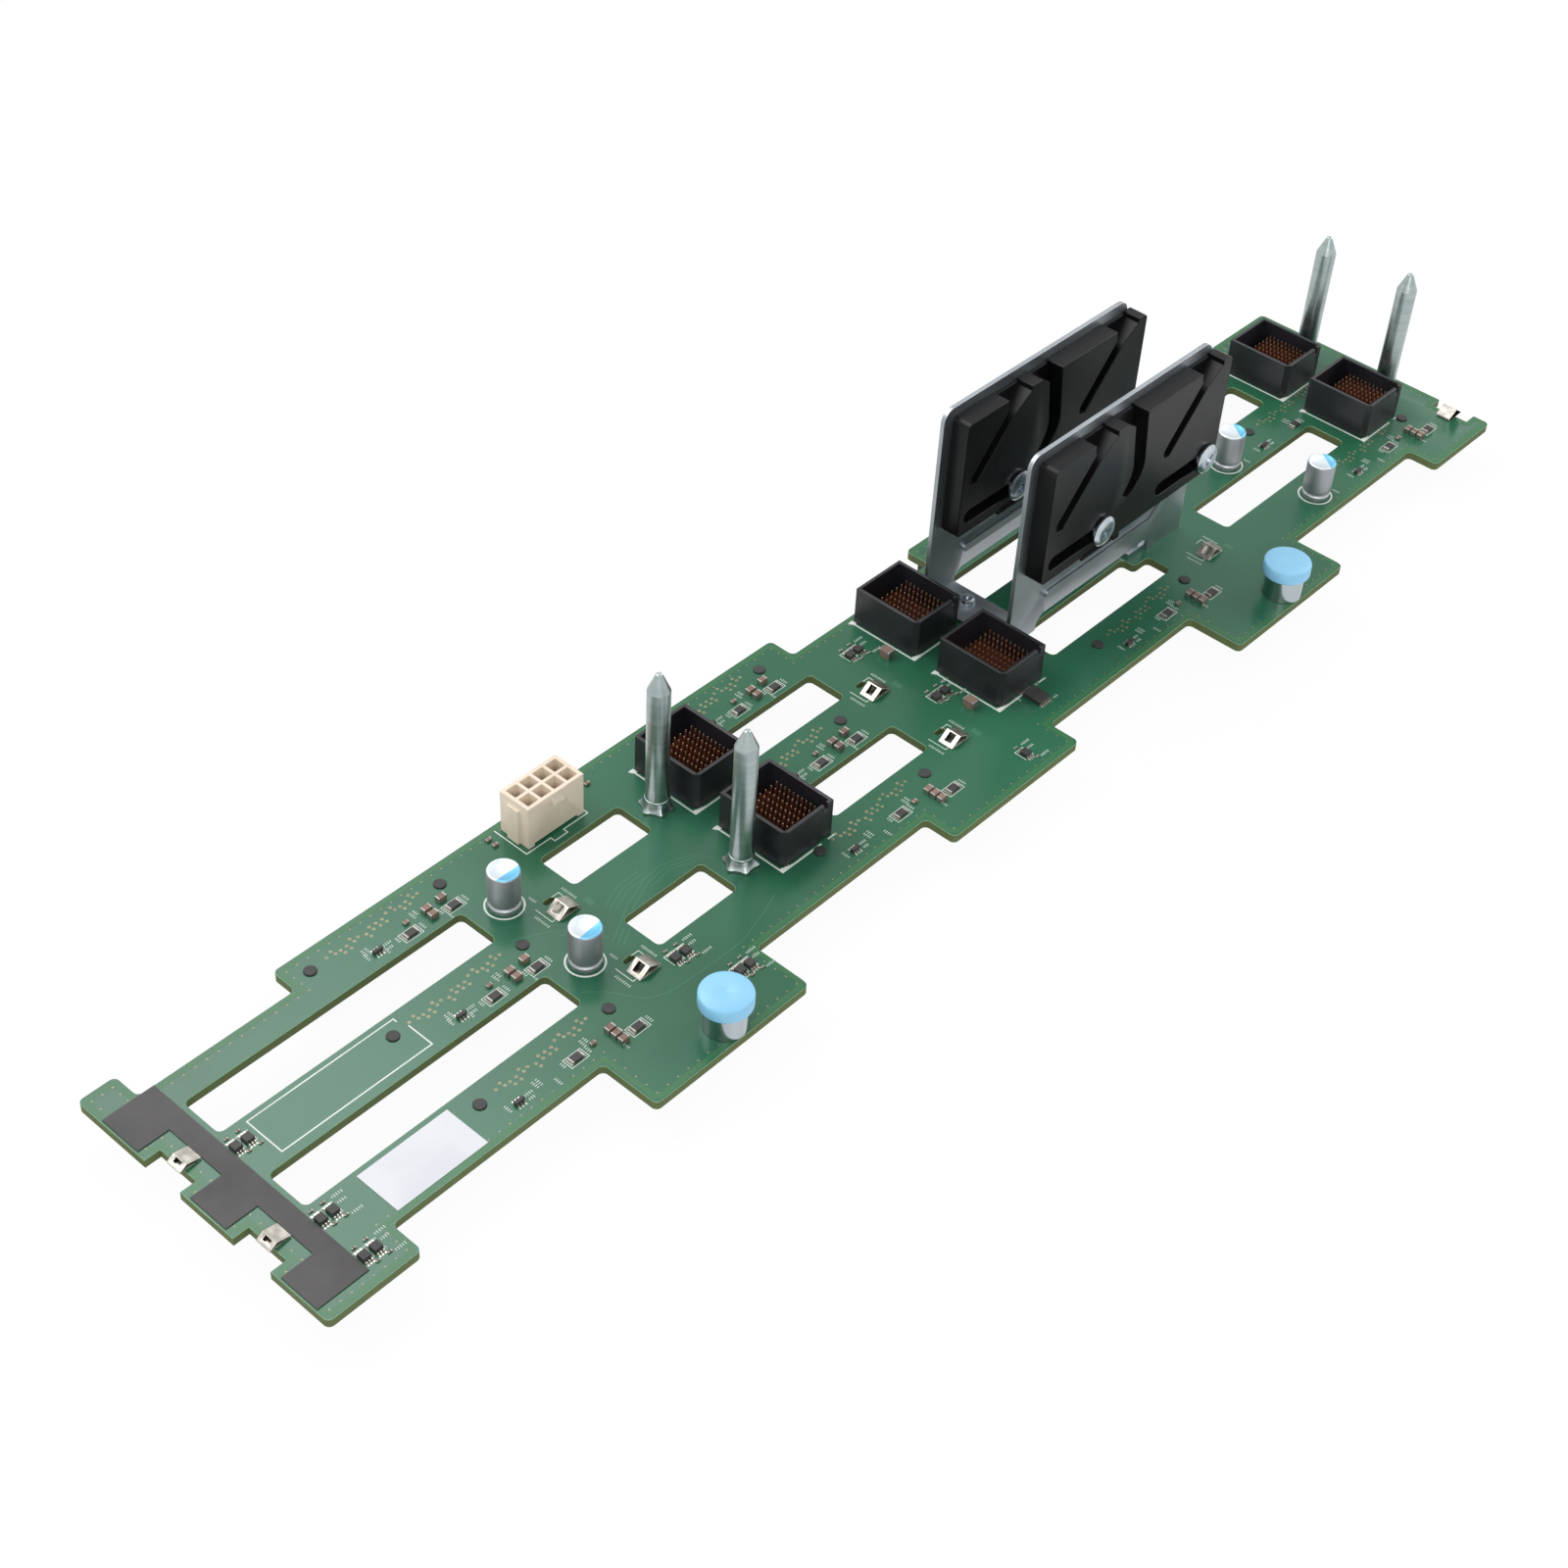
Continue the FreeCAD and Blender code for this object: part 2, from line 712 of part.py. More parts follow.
def cam_plate(wall_y):
    """A moulded plate with two slanted grooves, a curved middle channel, a rack and two screw slots."""
    y = wall_y - cam_face_gap - cam_thickness
    x = bracket_x + cam_start
    z = board_top + cam_bottom
    body = box(x, y, z, cam_length, cam_thickness, cam_height)
    ends = [edge for edge in body.Edges if abs(edge.BoundBox.YLength - cam_thickness) < 0.001]
    body = body.makeFillet(cam_corner_radius, ends)
    cuts = [curved_channel(x, y, z)] + cam_rack(x, y, z)
    top = z + cam_height
    lean = math.atan2(groove_knee[1] - groove_end[1], groove_knee[0] - groove_end[0])
    side = (groove_width / 2 * math.sin(lean), groove_width / 2 * math.cos(lean))
    for shift in (0, groove_pitch):
        start = (x + groove_end[0] + shift, z + groove_end[1])
        knee = (x + groove_knee[0] + shift, z + groove_knee[1])
        cuts.append(slot_bar(start, knee, groove_width, y, cam_thickness))
        left = x + mouth_start + shift
        right = left + mouth_width
        mouth = [(left, top), (left, top - mouth_depth), (knee[0] - side[0], knee[1] + side[1]),
                 (knee[0] + side[0], knee[1] - side[1]), (right, top - mouth_depth), (right, top)]
        cuts.append(wall_plate(mouth, y, cam_thickness))
        screw_x = x + screw_first + shift
        width = screw_shank_diameter + 2 * screw_slot_clearance
        slot_z = z + slot_screw_height
        cuts.append(slot_bar((screw_x - cam_travel, slot_z), (screw_x, slot_z), width, y, cam_thickness))
    return body.cut(cuts)


def cam_screws():
    """Shoulder screws: the shoulder seats on the wall and the tail passes through it."""
    screws = []
    for wall_y in (wall_front_y, rear_wall_y()):
        for x, z in cam_screw_places():
            shoulder = cam_face_gap + cam_thickness + screw_head_gap
            face = wall_y - shoulder
            head = rod_y(x, face - screw_head_height, z, screw_head_diameter, screw_head_height)
            body = head.fuse([rod_y(x, face, z, screw_shank_diameter, shoulder),
                              post_y(x, wall_y, z, screw_tail_diameter, screw_tail_length)])
            screws.append(body.removeSplitter())
    return Part.makeCompound(screws)


def bracket_screws():
    screws = []
    z = board_top + sheet_thickness
    for x, y in [strap_screw_place()] + foot_screw_places():
        head = rod(x, y, z, board_screw_head_diameter, board_screw_head_height)
        shank = post(x, y, z - board_screw_length, board_screw_shank_diameter, board_screw_length)
        screws.append(head.fuse(shank).removeSplitter())
    return Part.makeCompound(screws)


def grounding_clip(x, y, way, run, rise):
    """A sprung contact folded from strip: a flat base, a ramp with a window and a tail that falls again."""
    t = clip_sheet
    tail = rise - clip_tail_drop * rise / clip_rise
    end = run + clip_tail_run
    outline = [(0, 0), (end - t, 0), (end - t, t), (t, t), (run, rise - t), (end, tail),
               (end, tail + t), (run, rise), (0, t)]
    body = wall_plate([(x + way * a, board_top + b) for a, b in outline], y - clip_width / 2, clip_width)
    low, high = sorted((x + way * clip_window_start, x + way * (run - t)))
    window = box(low, y - clip_window / 2, board_top + t, high - low, clip_window, rise)
    return body.cut(window)


def grounding_clips():
    clips = [grounding_clip(x, y, 1, clip_run, clip_rise) for x, y in from_columns(inner_clips)]
    x = notch_depth - half_length - end_clip_overhang
    clips += [grounding_clip(x, y, 1, end_clip_run, end_clip_rise) for y in left_notch_ys]
    clips.append(grounding_clip(half_length - end_clip_overhang, right_notch_y, -1, clip_run, clip_rise))
    return Part.makeCompound(clips)


def insulator_sheet():
    x = -half_length + film_left
    top = half_depth - film_top
    bottom = -half_depth + film_bottom
    sheet = box(x, bottom, board_top, film_width, top - bottom, film_thickness)
    cuts = [box(x, y - film_cut_height / 2, board_top, film_cut_depth, film_cut_height, film_thickness)
            for y in left_notch_ys]
    return sheet.cut(cuts)


def plain_label():
    return box(label_inset - half_length, label_y, board_top, *label_size, label_thickness)


def chips_on_bays(bays, offsets, size):
    """Copies of one chip, placed from the first peg of each bay; a bay is named by its row and column."""
    return [centred_box(column_x[bay[1]] + a, row_y[bay[0]] + b, board_top, size)
            for bay in bays for a, b in offsets]


def sense_resistors():
    pieces = chips_on_bays(upper_bays, upper_sense, sense_size)
    pieces += chips_on_bays(lower_bays, lower_sense, sense_size)
    pieces += chips_on_bays(last_bays, last_sense, sense_size)
    return Part.makeCompound(pieces)


def ceramic_capacitors():
    pieces = chips_on_bays(upper_bays, upper_ceramic, ceramic_size)
    pieces += chips_on_bays(lower_bays, lower_ceramic, ceramic_size)
    pieces += chips_on_bays(upper_bays, upper_small, small_ceramic_size)
    pieces += chips_on_bays(lower_bays, lower_small, small_ceramic_size)
    pieces += [centred_box(x, y, board_top, tall_ceramic_size) for x, y in from_columns(tall_ceramic_places)]
    loose = from_columns(loose_ceramic_places)
    pieces += [centred_box(x, y, board_top, small_ceramic_size) for x, y in loose]
    return Part.makeCompound(pieces)


def small_chips():
    pieces = chips_on_bays(upper_bays, upper_sot, sot_size)
    pieces += chips_on_bays(lower_bays, lower_sot, sot_size)
    pieces += chips_on_bays(last_bays, last_sot, sot_size)
    first = film_edge + film_chip_gap + chip_size[0] / 2
    pieces += [centred_box(x, y, board_top, chip_size)
               for x in (first, first + chip_pitch) for y in film_chip_rows]
    pieces += [centred_box(x, y, board_top, chip_size) for x, y in from_columns(chip_places)]
    pieces += [centred_box(x, y, board_top, long_chip_size) for x, y in from_columns([long_chip_place])]
    return Part.makeCompound(pieces)


def build():
    save("circuit_board", circuit_board())
    for letter, y in row_y.items():
        for bay, x in column_x.items():
            save(f"drive_connector_{letter}{bay}", drive_connector(x, y))
    for letter, y in (("b", header_b_y), ("a", header_b_y + header_row_pitch)):
        for number, x in enumerate(header_xs, 1):
            save(f"signal_header_{letter}{number}", signal_header(x, y))
            save(f"header_pins_{letter}{number}", header_pins(x, y))
    for number, (x, y) in enumerate(guide_pin_places(), 1):
        save(f"guide_pin_{number}", guide_pin(x, y))
    save("power_connector", power_connector())
    save("power_pins", power_pins())
    for number, (x, y) in enumerate(from_columns(can_places), 1):
        save(f"bulk_capacitor_{number}", bulk_capacitor(x, y))
    for number, (x, y) in enumerate(release_places(), 1):
        save(f"release_barrel_{number}", release_barrel(x, y))
        save(f"release_plunger_{number}", release_plunger(x, y))
        save(f"release_knob_{number}", release_knob(x, y))
    save("guide_bracket", guide_bracket())
    save("cam_plate_front", cam_plate(wall_front_y))
    save("cam_plate_rear", cam_plate(rear_wall_y()))
    save("cam_screws", cam_screws())
    save("bracket_screws", bracket_screws())
    save("grounding_clips", grounding_clips())
    save("insulator_sheet", insulator_sheet())
    save("plain_label", plain_label())
    save("sense_resistors", sense_resistors())
    save("ceramic_capacitors", ceramic_capacitors())
    save("small_chips", small_chips())


build()
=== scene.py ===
# %% [markdown]
# # A drive backplane board
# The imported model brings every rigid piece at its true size. This lesson dresses those pieces: it gives the
# green board its border, holes and white ink, the black shrouds their rims and gold pins, and each metal and
# plastic its own finish. Everything is in metres, and a helper turns the board's own millimetres into them.
# The twelve drive bays stand in four columns and three rows, and their pitch places most of what follows.

import bpy
import bmesh
import math
from mathutils import Matrix, Vector


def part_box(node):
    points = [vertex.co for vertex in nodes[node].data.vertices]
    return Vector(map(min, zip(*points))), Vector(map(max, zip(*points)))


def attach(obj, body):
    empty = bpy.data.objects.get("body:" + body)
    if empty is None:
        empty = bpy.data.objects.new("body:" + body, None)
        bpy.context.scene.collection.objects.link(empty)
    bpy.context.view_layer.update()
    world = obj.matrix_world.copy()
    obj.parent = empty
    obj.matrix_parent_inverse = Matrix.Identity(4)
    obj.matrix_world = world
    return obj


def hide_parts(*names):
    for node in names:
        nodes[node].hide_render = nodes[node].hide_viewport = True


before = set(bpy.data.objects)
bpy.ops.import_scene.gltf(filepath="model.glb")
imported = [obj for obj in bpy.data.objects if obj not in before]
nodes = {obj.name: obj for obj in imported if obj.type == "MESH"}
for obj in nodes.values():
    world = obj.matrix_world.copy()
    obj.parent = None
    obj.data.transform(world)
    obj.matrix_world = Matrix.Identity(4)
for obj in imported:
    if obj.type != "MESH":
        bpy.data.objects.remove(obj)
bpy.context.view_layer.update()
MM = 0.001
board_low, board_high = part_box("circuit_board")
from_left, from_front = 58.5, 26.7
zero = Vector((board_low.x + from_left * MM, board_low.y + from_front * MM, board_high.z))
bay = 109.0
columns = [bay * i for i in range(4)]
rows = (0.0, 27.5, 55.0)


def spot(x, y, z=0.0):
    """A point in board millimetres, from the first locating peg and the board's top face."""
    return zero + Vector((x, y, z)) * MM


# %% [markdown]
# The photograph was taken from the front left, looking down at about 43 degrees. A camera fit to 48 points
# on the board gave the place, the turn and the lens below.

# %% Camera
camera_data = bpy.data.cameras.new("photo_camera")
camera_data.lens = 59.325
camera_data.sensor_width = 36.0
camera_data.clip_end = 20.0
camera = bpy.data.objects.new("photo_camera", camera_data)
camera.location = (-0.396921, -0.289126, 0.434780)
camera.rotation_euler = [math.radians(a) for a in (47.3648, -2.7421, -47.8371)]
bpy.context.scene.collection.objects.link(camera)
bpy.context.scene.camera = camera
print("camera lens:", camera_data.lens)

# %% [markdown]
# Shader maths reads best as sums. A small class wraps one socket, so that `1 - mask` adds its own Math node,
# and one method makes any other node from its type, its settings and its links.

# %% A socket that can be used in a sum
class Shade:
    def __init__(self, tree, socket=None):
        self.tree = tree
        self.socket = socket

    def plug(self, target, value):
        if isinstance(value, Shade):
            self.tree.links.new(value.socket, target)
        elif target.type == "RGBA" and len(value) == 3:
            target.default_value = (*value, 1.0)
        else:
            target.default_value = value

    def node(self, kind, settings=None, out=0, **links):
        made = self.tree.nodes.new("ShaderNode" + kind)
        for key, value in (settings or {}).items():
            setattr(made, key, value)
        for key, value in links.items():
            self.plug(made.inputs[key.replace("_", " ")], value)
        return Shade(self.tree, made.outputs[out])

    def math(self, operation, a, b=0.0):
        made = self.tree.nodes.new("ShaderNodeMath")
        made.operation = operation
        self.plug(made.inputs[0], a)
        self.plug(made.inputs[1], b)
        return Shade(self.tree, made.outputs[0])

    def mix(self, factor, a, b):
        made = self.tree.nodes.new("ShaderNodeMix")
        made.data_type = "RGBA"
        for index, value in ((0, factor), (6, a), (7, b)):
            self.plug(made.inputs[index], value)
        return Shade(self.tree, made.outputs[2])

    def __add__(self, other):
        return self.math("ADD", self, other)

    def __sub__(self, other):
        return self.math("SUBTRACT", self, other)

    def __rsub__(self, other):
        return self.math("SUBTRACT", other, self)

    def __mul__(self, other):
        return self.math("MULTIPLY", self, other)

    def __gt__(self, other):
        return self.math("GREATER_THAN", self, other)

    def __lt__(self, other):
        return self.math("LESS_THAN", self, other)

    def soft(self, low, high):
        """Rises from 0 to 1 between two values."""
        smooth = {"interpolation_type": "SMOOTHSTEP"}
        return self.node("MapRange", smooth, Value=self, From_Min=low, From_Max=high)

    __radd__ = __add__


def rgb(r, g, b):
    """A colour as a paint chart gives it, 0 to 255, made linear."""
    return tuple(v / 3294.6 if v <= 10 else ((v / 255 + 0.055) / 1.055) ** 2.4 for v in (r, g, b))


def new_finish(name, rough, metal=0.0):
    material = bpy.data.materials.new(name)
    material.use_nodes = True
    shader = material.node_tree.nodes["Principled BSDF"]
    shader.inputs["Roughness"].default_value = rough
    shader.inputs["Metallic"].default_value = metal
    return material, Shade(material.node_tree), shader


def place(shade):
    """Where a point is, in the piece's own coordinates."""
    return shade.node("TexCoord", out=3)


def noise(shade, scale, detail=2.0, where=None):
    return shade.node("TexNoise", Vector=where or place(shade), Scale=scale, Detail=detail)


def bump(shade, shader, height, depth):
    made = shade.node("Bump", Height=height, Distance=depth)
    shade.plug(shader.inputs["Normal"], made)


# %% [markdown]
# Moulded plastic is never one flat colour. It has a slow drift in tone, a fine grain that breaks the
# highlight, and a little change in gloss, so every plastic here comes from one recipe with its own numbers.

# %% Plastics
def plastic(name, dark, light, rough, grain=900.0, depth=0.00002, specular=0.5):
    material, s, shader = new_finish(name, rough)
    shader.inputs["Specular IOR Level"].default_value = specular
    drift = noise(s, 60.0, 3.0).soft(0.35, 0.65)
    s.plug(shader.inputs["Base Color"], s.mix(drift, dark, light))
    fine = noise(s, grain, 2.0)
    s.plug(shader.inputs["Roughness"], rough + (fine - 0.5) * 0.12)
    if depth:
        bump(s, shader, fine, depth)
    return material


header_black = plastic("header_black", rgb(20, 20, 24), rgb(32, 32, 37), 0.38)
connector_black = plastic("connector_black", rgb(30, 30, 31), rgb(42, 42, 43), 0.5)
cam_black = plastic("cam_black", rgb(12, 11, 12), rgb(18, 16, 17), 0.3, 120.0, 0.0, 0.2)
ivory = plastic("ivory", rgb(218, 202, 182), rgb(230, 215, 196), 0.45)
knob_blue = plastic("knob_blue", rgb(132, 192, 226), rgb(140, 200, 234), 0.4, 500.0)
film_grey = plastic("film_grey", rgb(62, 60, 61), rgb(72, 70, 71), 0.6, 500.0)
chip_black = plastic("chip_black", rgb(30, 30, 30), rgb(46, 45, 44), 0.5, 2500.0)
paper_white = plastic("paper_white", rgb(206, 208, 214), rgb(214, 216, 221), 0.55, 1500.0, 0.000008)
white_ink = plastic("white_ink", rgb(204, 214, 206), rgb(220, 226, 220), 0.6, 2500.0, 0.000005)
ceramic_brown = plastic("ceramic_brown", rgb(104, 84, 74), rgb(130, 106, 94), 0.5, 1800.0)
# Painted light: the floor's brown is lightened against the shade deep in the shroud. Painted shade: the pins'
# shanks are dark brown.
pin_floor_painted_light = plastic("pin_floor_painted_light", rgb(92, 42, 26), rgb(116, 56, 36), 0.5, 1500.0)
pin_shank_painted_shade = plastic("pin_shank_painted_shade", rgb(66, 32, 22), rgb(86, 44, 30), 0.5, 1500.0)
print("plastics made")

# %% [markdown]
# Bare metals differ in how the surface was left: turned steel has fine rings, rolled sheet a quiet zinc skin,
# and tinned contacts are soft and cloudy. The recipe stretches one noise along an axis where the finish has
# a direction: `rings` lie round an upright axis, `drawn` runs up and down, and `even` has none.

# %% Metals
rings, drawn, even = (0.03, 0.03, 1.0), (1.0, 1.0, 0.1), (1.0, 1.0, 1.0)


def metal(name, dark, light, rough, stretch=even, scale=400.0, depth=0.00001, spread=0.12):
    material, s, shader = new_finish(name, rough, 1.0)
    where = s.node("Mapping", Vector=place(s), Scale=stretch)
    fine = noise(s, scale, 4.0, where)
    s.plug(shader.inputs["Base Color"], s.mix(fine.soft(0.3, 0.7), dark, light))
    s.plug(shader.inputs["Roughness"], rough + (fine - 0.5) * spread)
    if depth:
        bump(s, shader, fine, depth)
    return material


guide_steel = metal("guide_steel", rgb(160, 172, 172), rgb(174, 185, 184), 0.3, rings, 900.0, 0.0, 0.05)
sleeve_steel = metal("sleeve_steel", rgb(168, 178, 184), rgb(184, 193, 198), 0.2, drawn, 300.0, 0.0, 0.05)
screw_steel = metal("screw_steel", rgb(176, 186, 194), rgb(206, 214, 220), 0.28)
zinc_sheet = metal("zinc_sheet", rgb(158, 165, 170), rgb(170, 177, 181), 0.4, even, 90.0, 0.0, 0.06)
tin = metal("tin", rgb(168, 164, 156), rgb(204, 200, 191), 0.36, even, 500.0, 0.000004)
solder = metal("solder", rgb(150, 148, 142), rgb(176, 174, 168), 0.45, even, 900.0)
via_ring = metal("via_ring", rgb(146, 132, 108), rgb(170, 156, 130), 0.5, even, 900.0)
gold = metal("gold", rgb(222, 184, 140), rgb(246, 212, 170), 0.4, even, 900.0)
can_skin = metal("can_skin", rgb(158, 161, 165), rgb(172, 175, 179), 0.52, drawn, 300.0, 0.0, 0.05)
# Painted highlight: the can's bead is a brighter metal than its skin, for the bright line along the bead.
bead_painted_highlight = metal("bead_painted_highlight", rgb(200, 203, 206), rgb(212, 215, 218), 0.42, even, 300.0, 0.0, 0.05)
print("metals made")

# %% [markdown]
# Solder mask is a thin green varnish over copper and glass cloth. On the flat faces the colour is deep, and
# on the narrow bevel it is painted pale: the varnish is thin there, and the pale colour is also a painted
# highlight along the edge. Where the board was cut, the bare laminate shows as an olive brown edge with
# the layers of its cloth. The face's own direction tells the three apart, so one material serves all of it.

# %% Solder mask
cloth_layers = 9000.0
steepest_mask, level_face = 0.6, 0.95


def mask_finish(name, deep, pale, rough=0.24):
    material, s, shader = new_finish(name, rough)
    shader.inputs["Specular IOR Level"].default_value = 0.4
    where = place(s)
    cloud = noise(s, 14.0, 3.0, where).soft(0.3, 0.7)
    weave = noise(s, 1400.0, 2.0, where)
    green = s.mix(cloud, deep, pale)
    up = s.node("SeparateXYZ", Vector=s.node("TexCoord", out=1), out=2)
    flat = s.math("ABSOLUTE", up) > steepest_mask
    thin_rim_and_highlight = 1.0 - (s.math("ABSOLUTE", up) > level_face)
    depth = s.node("SeparateXYZ", Vector=where, out=2) * cloth_layers
    layers = (depth - s.math("FLOOR", depth)) < 0.5
    cut = s.mix(layers * 0.35 + noise(s, 500.0, 2.0, where) * 0.4, rgb(70, 92, 50), rgb(106, 110, 70))
    # Pale rim on the bevel faces: thin varnish, and a painted highlight along the board's edge.
    green = s.mix(thin_rim_and_highlight, green, rgb(126, 172, 130))
    s.plug(shader.inputs["Base Color"], s.mix(flat, cut, green))
    s.plug(shader.inputs["Roughness"], 0.75 - flat * (0.75 - rough) + (weave - 0.5) * 0.06)
    bump(s, shader, weave, 0.000006)
    return material


solder_mask = mask_finish("solder_mask", rgb(34, 90, 64), rgb(44, 102, 76))
border_mask = mask_finish("border_mask", rgb(44, 100, 62), rgb(54, 109, 70), 0.3)
pour_mask = mask_finish("pour_mask", rgb(50, 105, 80), rgb(58, 114, 87), 0.24)
print("solder mask made")

# %% [markdown]
# Real edges are never perfectly sharp. `dress` takes a copy of a CAD piece, merges its loose triangles,
# breaks its edges with a small bevel and lets the copy stand for the piece, so highlights run along it.
# A plain piece that needs no new edges gets its finish through `paint`.

# %% Helpers that finish a piece
weld = 0.000002


def hand_over(bm, name, body, finishes, smooth=35.0):
    mesh = bpy.data.meshes.new(name)
    bm.to_mesh(mesh)
    bm.free()
    for finish in finishes:
        mesh.materials.append(finish)
    piece = bpy.data.objects.new(name, mesh)
    bpy.context.scene.collection.objects.link(piece)
    mesh.shade_smooth()
    mesh.set_sharp_from_angle(angle=math.radians(smooth))
    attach(piece, body)
    return piece


def paint(node, finish):
    """Gives a CAD piece its finish and leaves its shape alone."""
    nodes[node].data.materials.clear()
    nodes[node].data.materials.append(finish)


def merged_copy(node):
    bm = bmesh.new()
    bm.from_mesh(nodes[node].data)
    bmesh.ops.remove_doubles(bm, verts=bm.verts, dist=weld)
    bmesh.ops.dissolve_limit(bm, angle_limit=math.radians(2.0), verts=bm.verts, edges=bm.edges)
    return bm


def sharp_edges(bm, least):
    """The edges between two faces that meet at more than so many degrees."""
    return [e for e in bm.edges if len(e.link_faces) == 2 and e.calc_face_angle(0.0) > math.radians(least)]


def soften(bm, edges, width, segments=1):
    """Breaks the edges with a bevel whose width is in millimetres."""
    bmesh.ops.bevel(bm, geom=edges, offset=width * MM, offset_type="OFFSET", segments=segments, profile=0.5,
                    affect="EDGES", material=-1, clamp_overlap=True)


def dress(node, body, finish, width, least=50.0):
    bm = merged_copy(node)
    soften(bm, sharp_edges(bm, least), width, 2)
    piece = hand_over(bm, node + "_dressed", body, [finish], 20.0)
    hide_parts(node)


print("finishing helpers ready")


# %% Helpers that build forms
def block(bm, shape, finish, width):
    """A cube of side 1, placed and sized by a matrix, with a bevel where a width is given."""
    made = bmesh.ops.create_cube(bm, size=1.0, matrix=shape)["verts"]
    for face in {f for v in made for f in v.link_faces}:
        face.material_index = finish
    if width:
        soften(bm, list({e for v in made for e in v.link_edges}), width)


def brick(bm, middle, size, bevel=0.0, finish=0, turn=0.0):
    """A block in board millimetres, from the middle of its foot."""
    centre = spot(middle[0], middle[1], middle[2] + size[2] / 2)
    sized = Matrix.Diagonal((*(v * MM for v in size), 1))
    block(bm, Matrix.Translation(centre) @ Matrix.Rotation(turn, 4, "Z") @ sized, finish, bevel)


def puck(bm, x, y, radius, height, sides, finish):
    shape = Matrix.Translation(spot(x, y, height / 2))
    made = bmesh.ops.create_cone(bm, cap_ends=True, segments=sides, radius1=radius * MM, radius2=radius * MM,
                                 depth=height * MM, matrix=shape)["verts"]
    for face in {f for v in made for f in v.link_faces}:
        face.material_index = finish


def lathe(bm, profile, x, y, steps=48):
    """Spins an outline of (radius, height) points about an upright axis."""
    verts = [bm.verts.new(spot(x + r, y, z)) for r, z in profile]
    edges = [bm.edges.new(pair) for pair in zip(verts, verts[1:])]
    bmesh.ops.spin(bm, geom=verts + edges, cent=spot(x, y), axis=(0, 0, 1), dvec=(0, 0, 0),
                   angle=2 * math.pi, steps=steps, use_merge=True)
    bmesh.ops.remove_doubles(bm, verts=bm.verts, dist=weld / 4)


def close_up(bm):
    bmesh.ops.recalc_face_normals(bm, faces=bm.faces)


def line(bm, a, b, width, height=0.02):
    """A printed line from one point of the board to another."""
    run = Vector(b) - Vector(a)
    middle = (Vector(a) + Vector(b)) / 2
    brick(bm, (middle.x, middle.y, 0), (run.length + width, width, height), turn=math.atan2(run.y, run.x))


def path(bm, points, width):
    """Lines through all the points. Every second one is a hair taller, so none overlap in one plane."""
    for i, (a, b) in enumerate(zip(points, points[1:])):
        line(bm, a, b, width, 0.02 + 0.003 * (i % 2))


print("building helpers ready")

# %% [markdown]
# The board keeps its CAD outline. Its copy gets a fine bevel, because the varnish rolls over the cut edge
# and catches a thin bright line there. The mask paints that bevel pale, partly as a painted highlight.

# %% The board
bm = merged_copy("circuit_board")
level_rims = [e for e in sharp_edges(bm, 70.0) if abs(e.verts[0].co.z - e.verts[1].co.z) < 1e-6]
soften(bm, level_rims, 0.2)
board = hand_over(bm, "board_dressed", "backplane", [solder_mask], 30.0)
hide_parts("circuit_board")
print("board faces:", len(board.data.polygons))

# %% [markdown]
# Around the outside runs a paler band of mask, where copper lies right up to the edge, and a row of tiny
# plated holes stitches it through. Two loops follow the board's corners, one inside the other, and a row of
# faces joins them into a ring.

# %% Border band
edge_points = [(-58.5, 60.8), (-48.7, 60.8), (-48.7, 53.0), (-6.0, 53.0), (-6.0, 60.8), (158.2, 60.8),
               (158.2, 53.0), (212.5, 53.0), (212.5, 60.8), (382.3, 60.8), (382.3, -2.6), (378.2, -2.6),
               (378.2, -14.3), (382.3, -14.3), (382.3, -19.6), (353.0, -19.6), (353.0, -10.5), (293.6, -10.5),
               (293.6, -26.7), (244.6, -26.7), (244.6, -10.5), (184.2, -10.5), (184.2, -19.6), (135.4, -19.6),
               (135.4, -10.5), (75.6, -10.5), (75.6, -26.7), (26.6, -26.7), (26.6, -10.5), (-33.9, -10.5),
               (-33.9, -19.6), (-58.5, -19.6), (-58.5, -2.1), (-54.4, -2.1), (-54.4, 9.6), (-58.5, 9.6),
               (-58.5, 26.5), (-54.4, 26.5), (-54.4, 38.2), (-58.5, 38.2)]


def inset_loop(points, inset):
    """The same corners, moved in from the edge. Every side runs along X or Y."""
    out = []
    for i, (x, y) in enumerate(points):
        before, after = points[i - 1], points[(i + 1) % len(points)]
        a = Vector((x - before[0], y - before[1])).normalized()
        b = Vector((after[0] - x, after[1] - y)).normalized()
        out.append((x + inset * (a.y + b.y), y - inset * (a.x + b.x)))
    return out


def clipped(points, outer):
    """Cuts each corner off. The corners that stick out are cut more."""
    out = []
    for i, corner in enumerate(points):
        at = Vector(corner)
        back = Vector(points[i - 1]) - at
        ahead = Vector(points[(i + 1) % len(points)]) - at
        cut = outer if back.x * ahead.y - back.y * ahead.x > 0 else 0.2
        cut = min(cut, 0.4 * back.length, 0.4 * ahead.length)
        out += [at + back.normalized() * cut, at + ahead.normalized() * cut]
    return out


bm = bmesh.new()
outer, inner = [[bm.verts.new(spot(x, y, 0.014)) for x, y in clipped(inset_loop(edge_points, inset), 1.4)]
                for inset in (0.35, 1.7)]
for i in range(len(outer)):
    bm.faces.new((outer[i - 1], outer[i], inner[i], inner[i - 1]))
close_up(bm)
band = hand_over(bm, "border_band", "backplane", [border_mask])
print("border faces:", len(band.data.polygons))

# %% [markdown]
# Each plated hole is a thin ring of metal with a plug of mask in it. The small ones follow the edge, and a
# loose double row of larger ones lies over each drive connector.

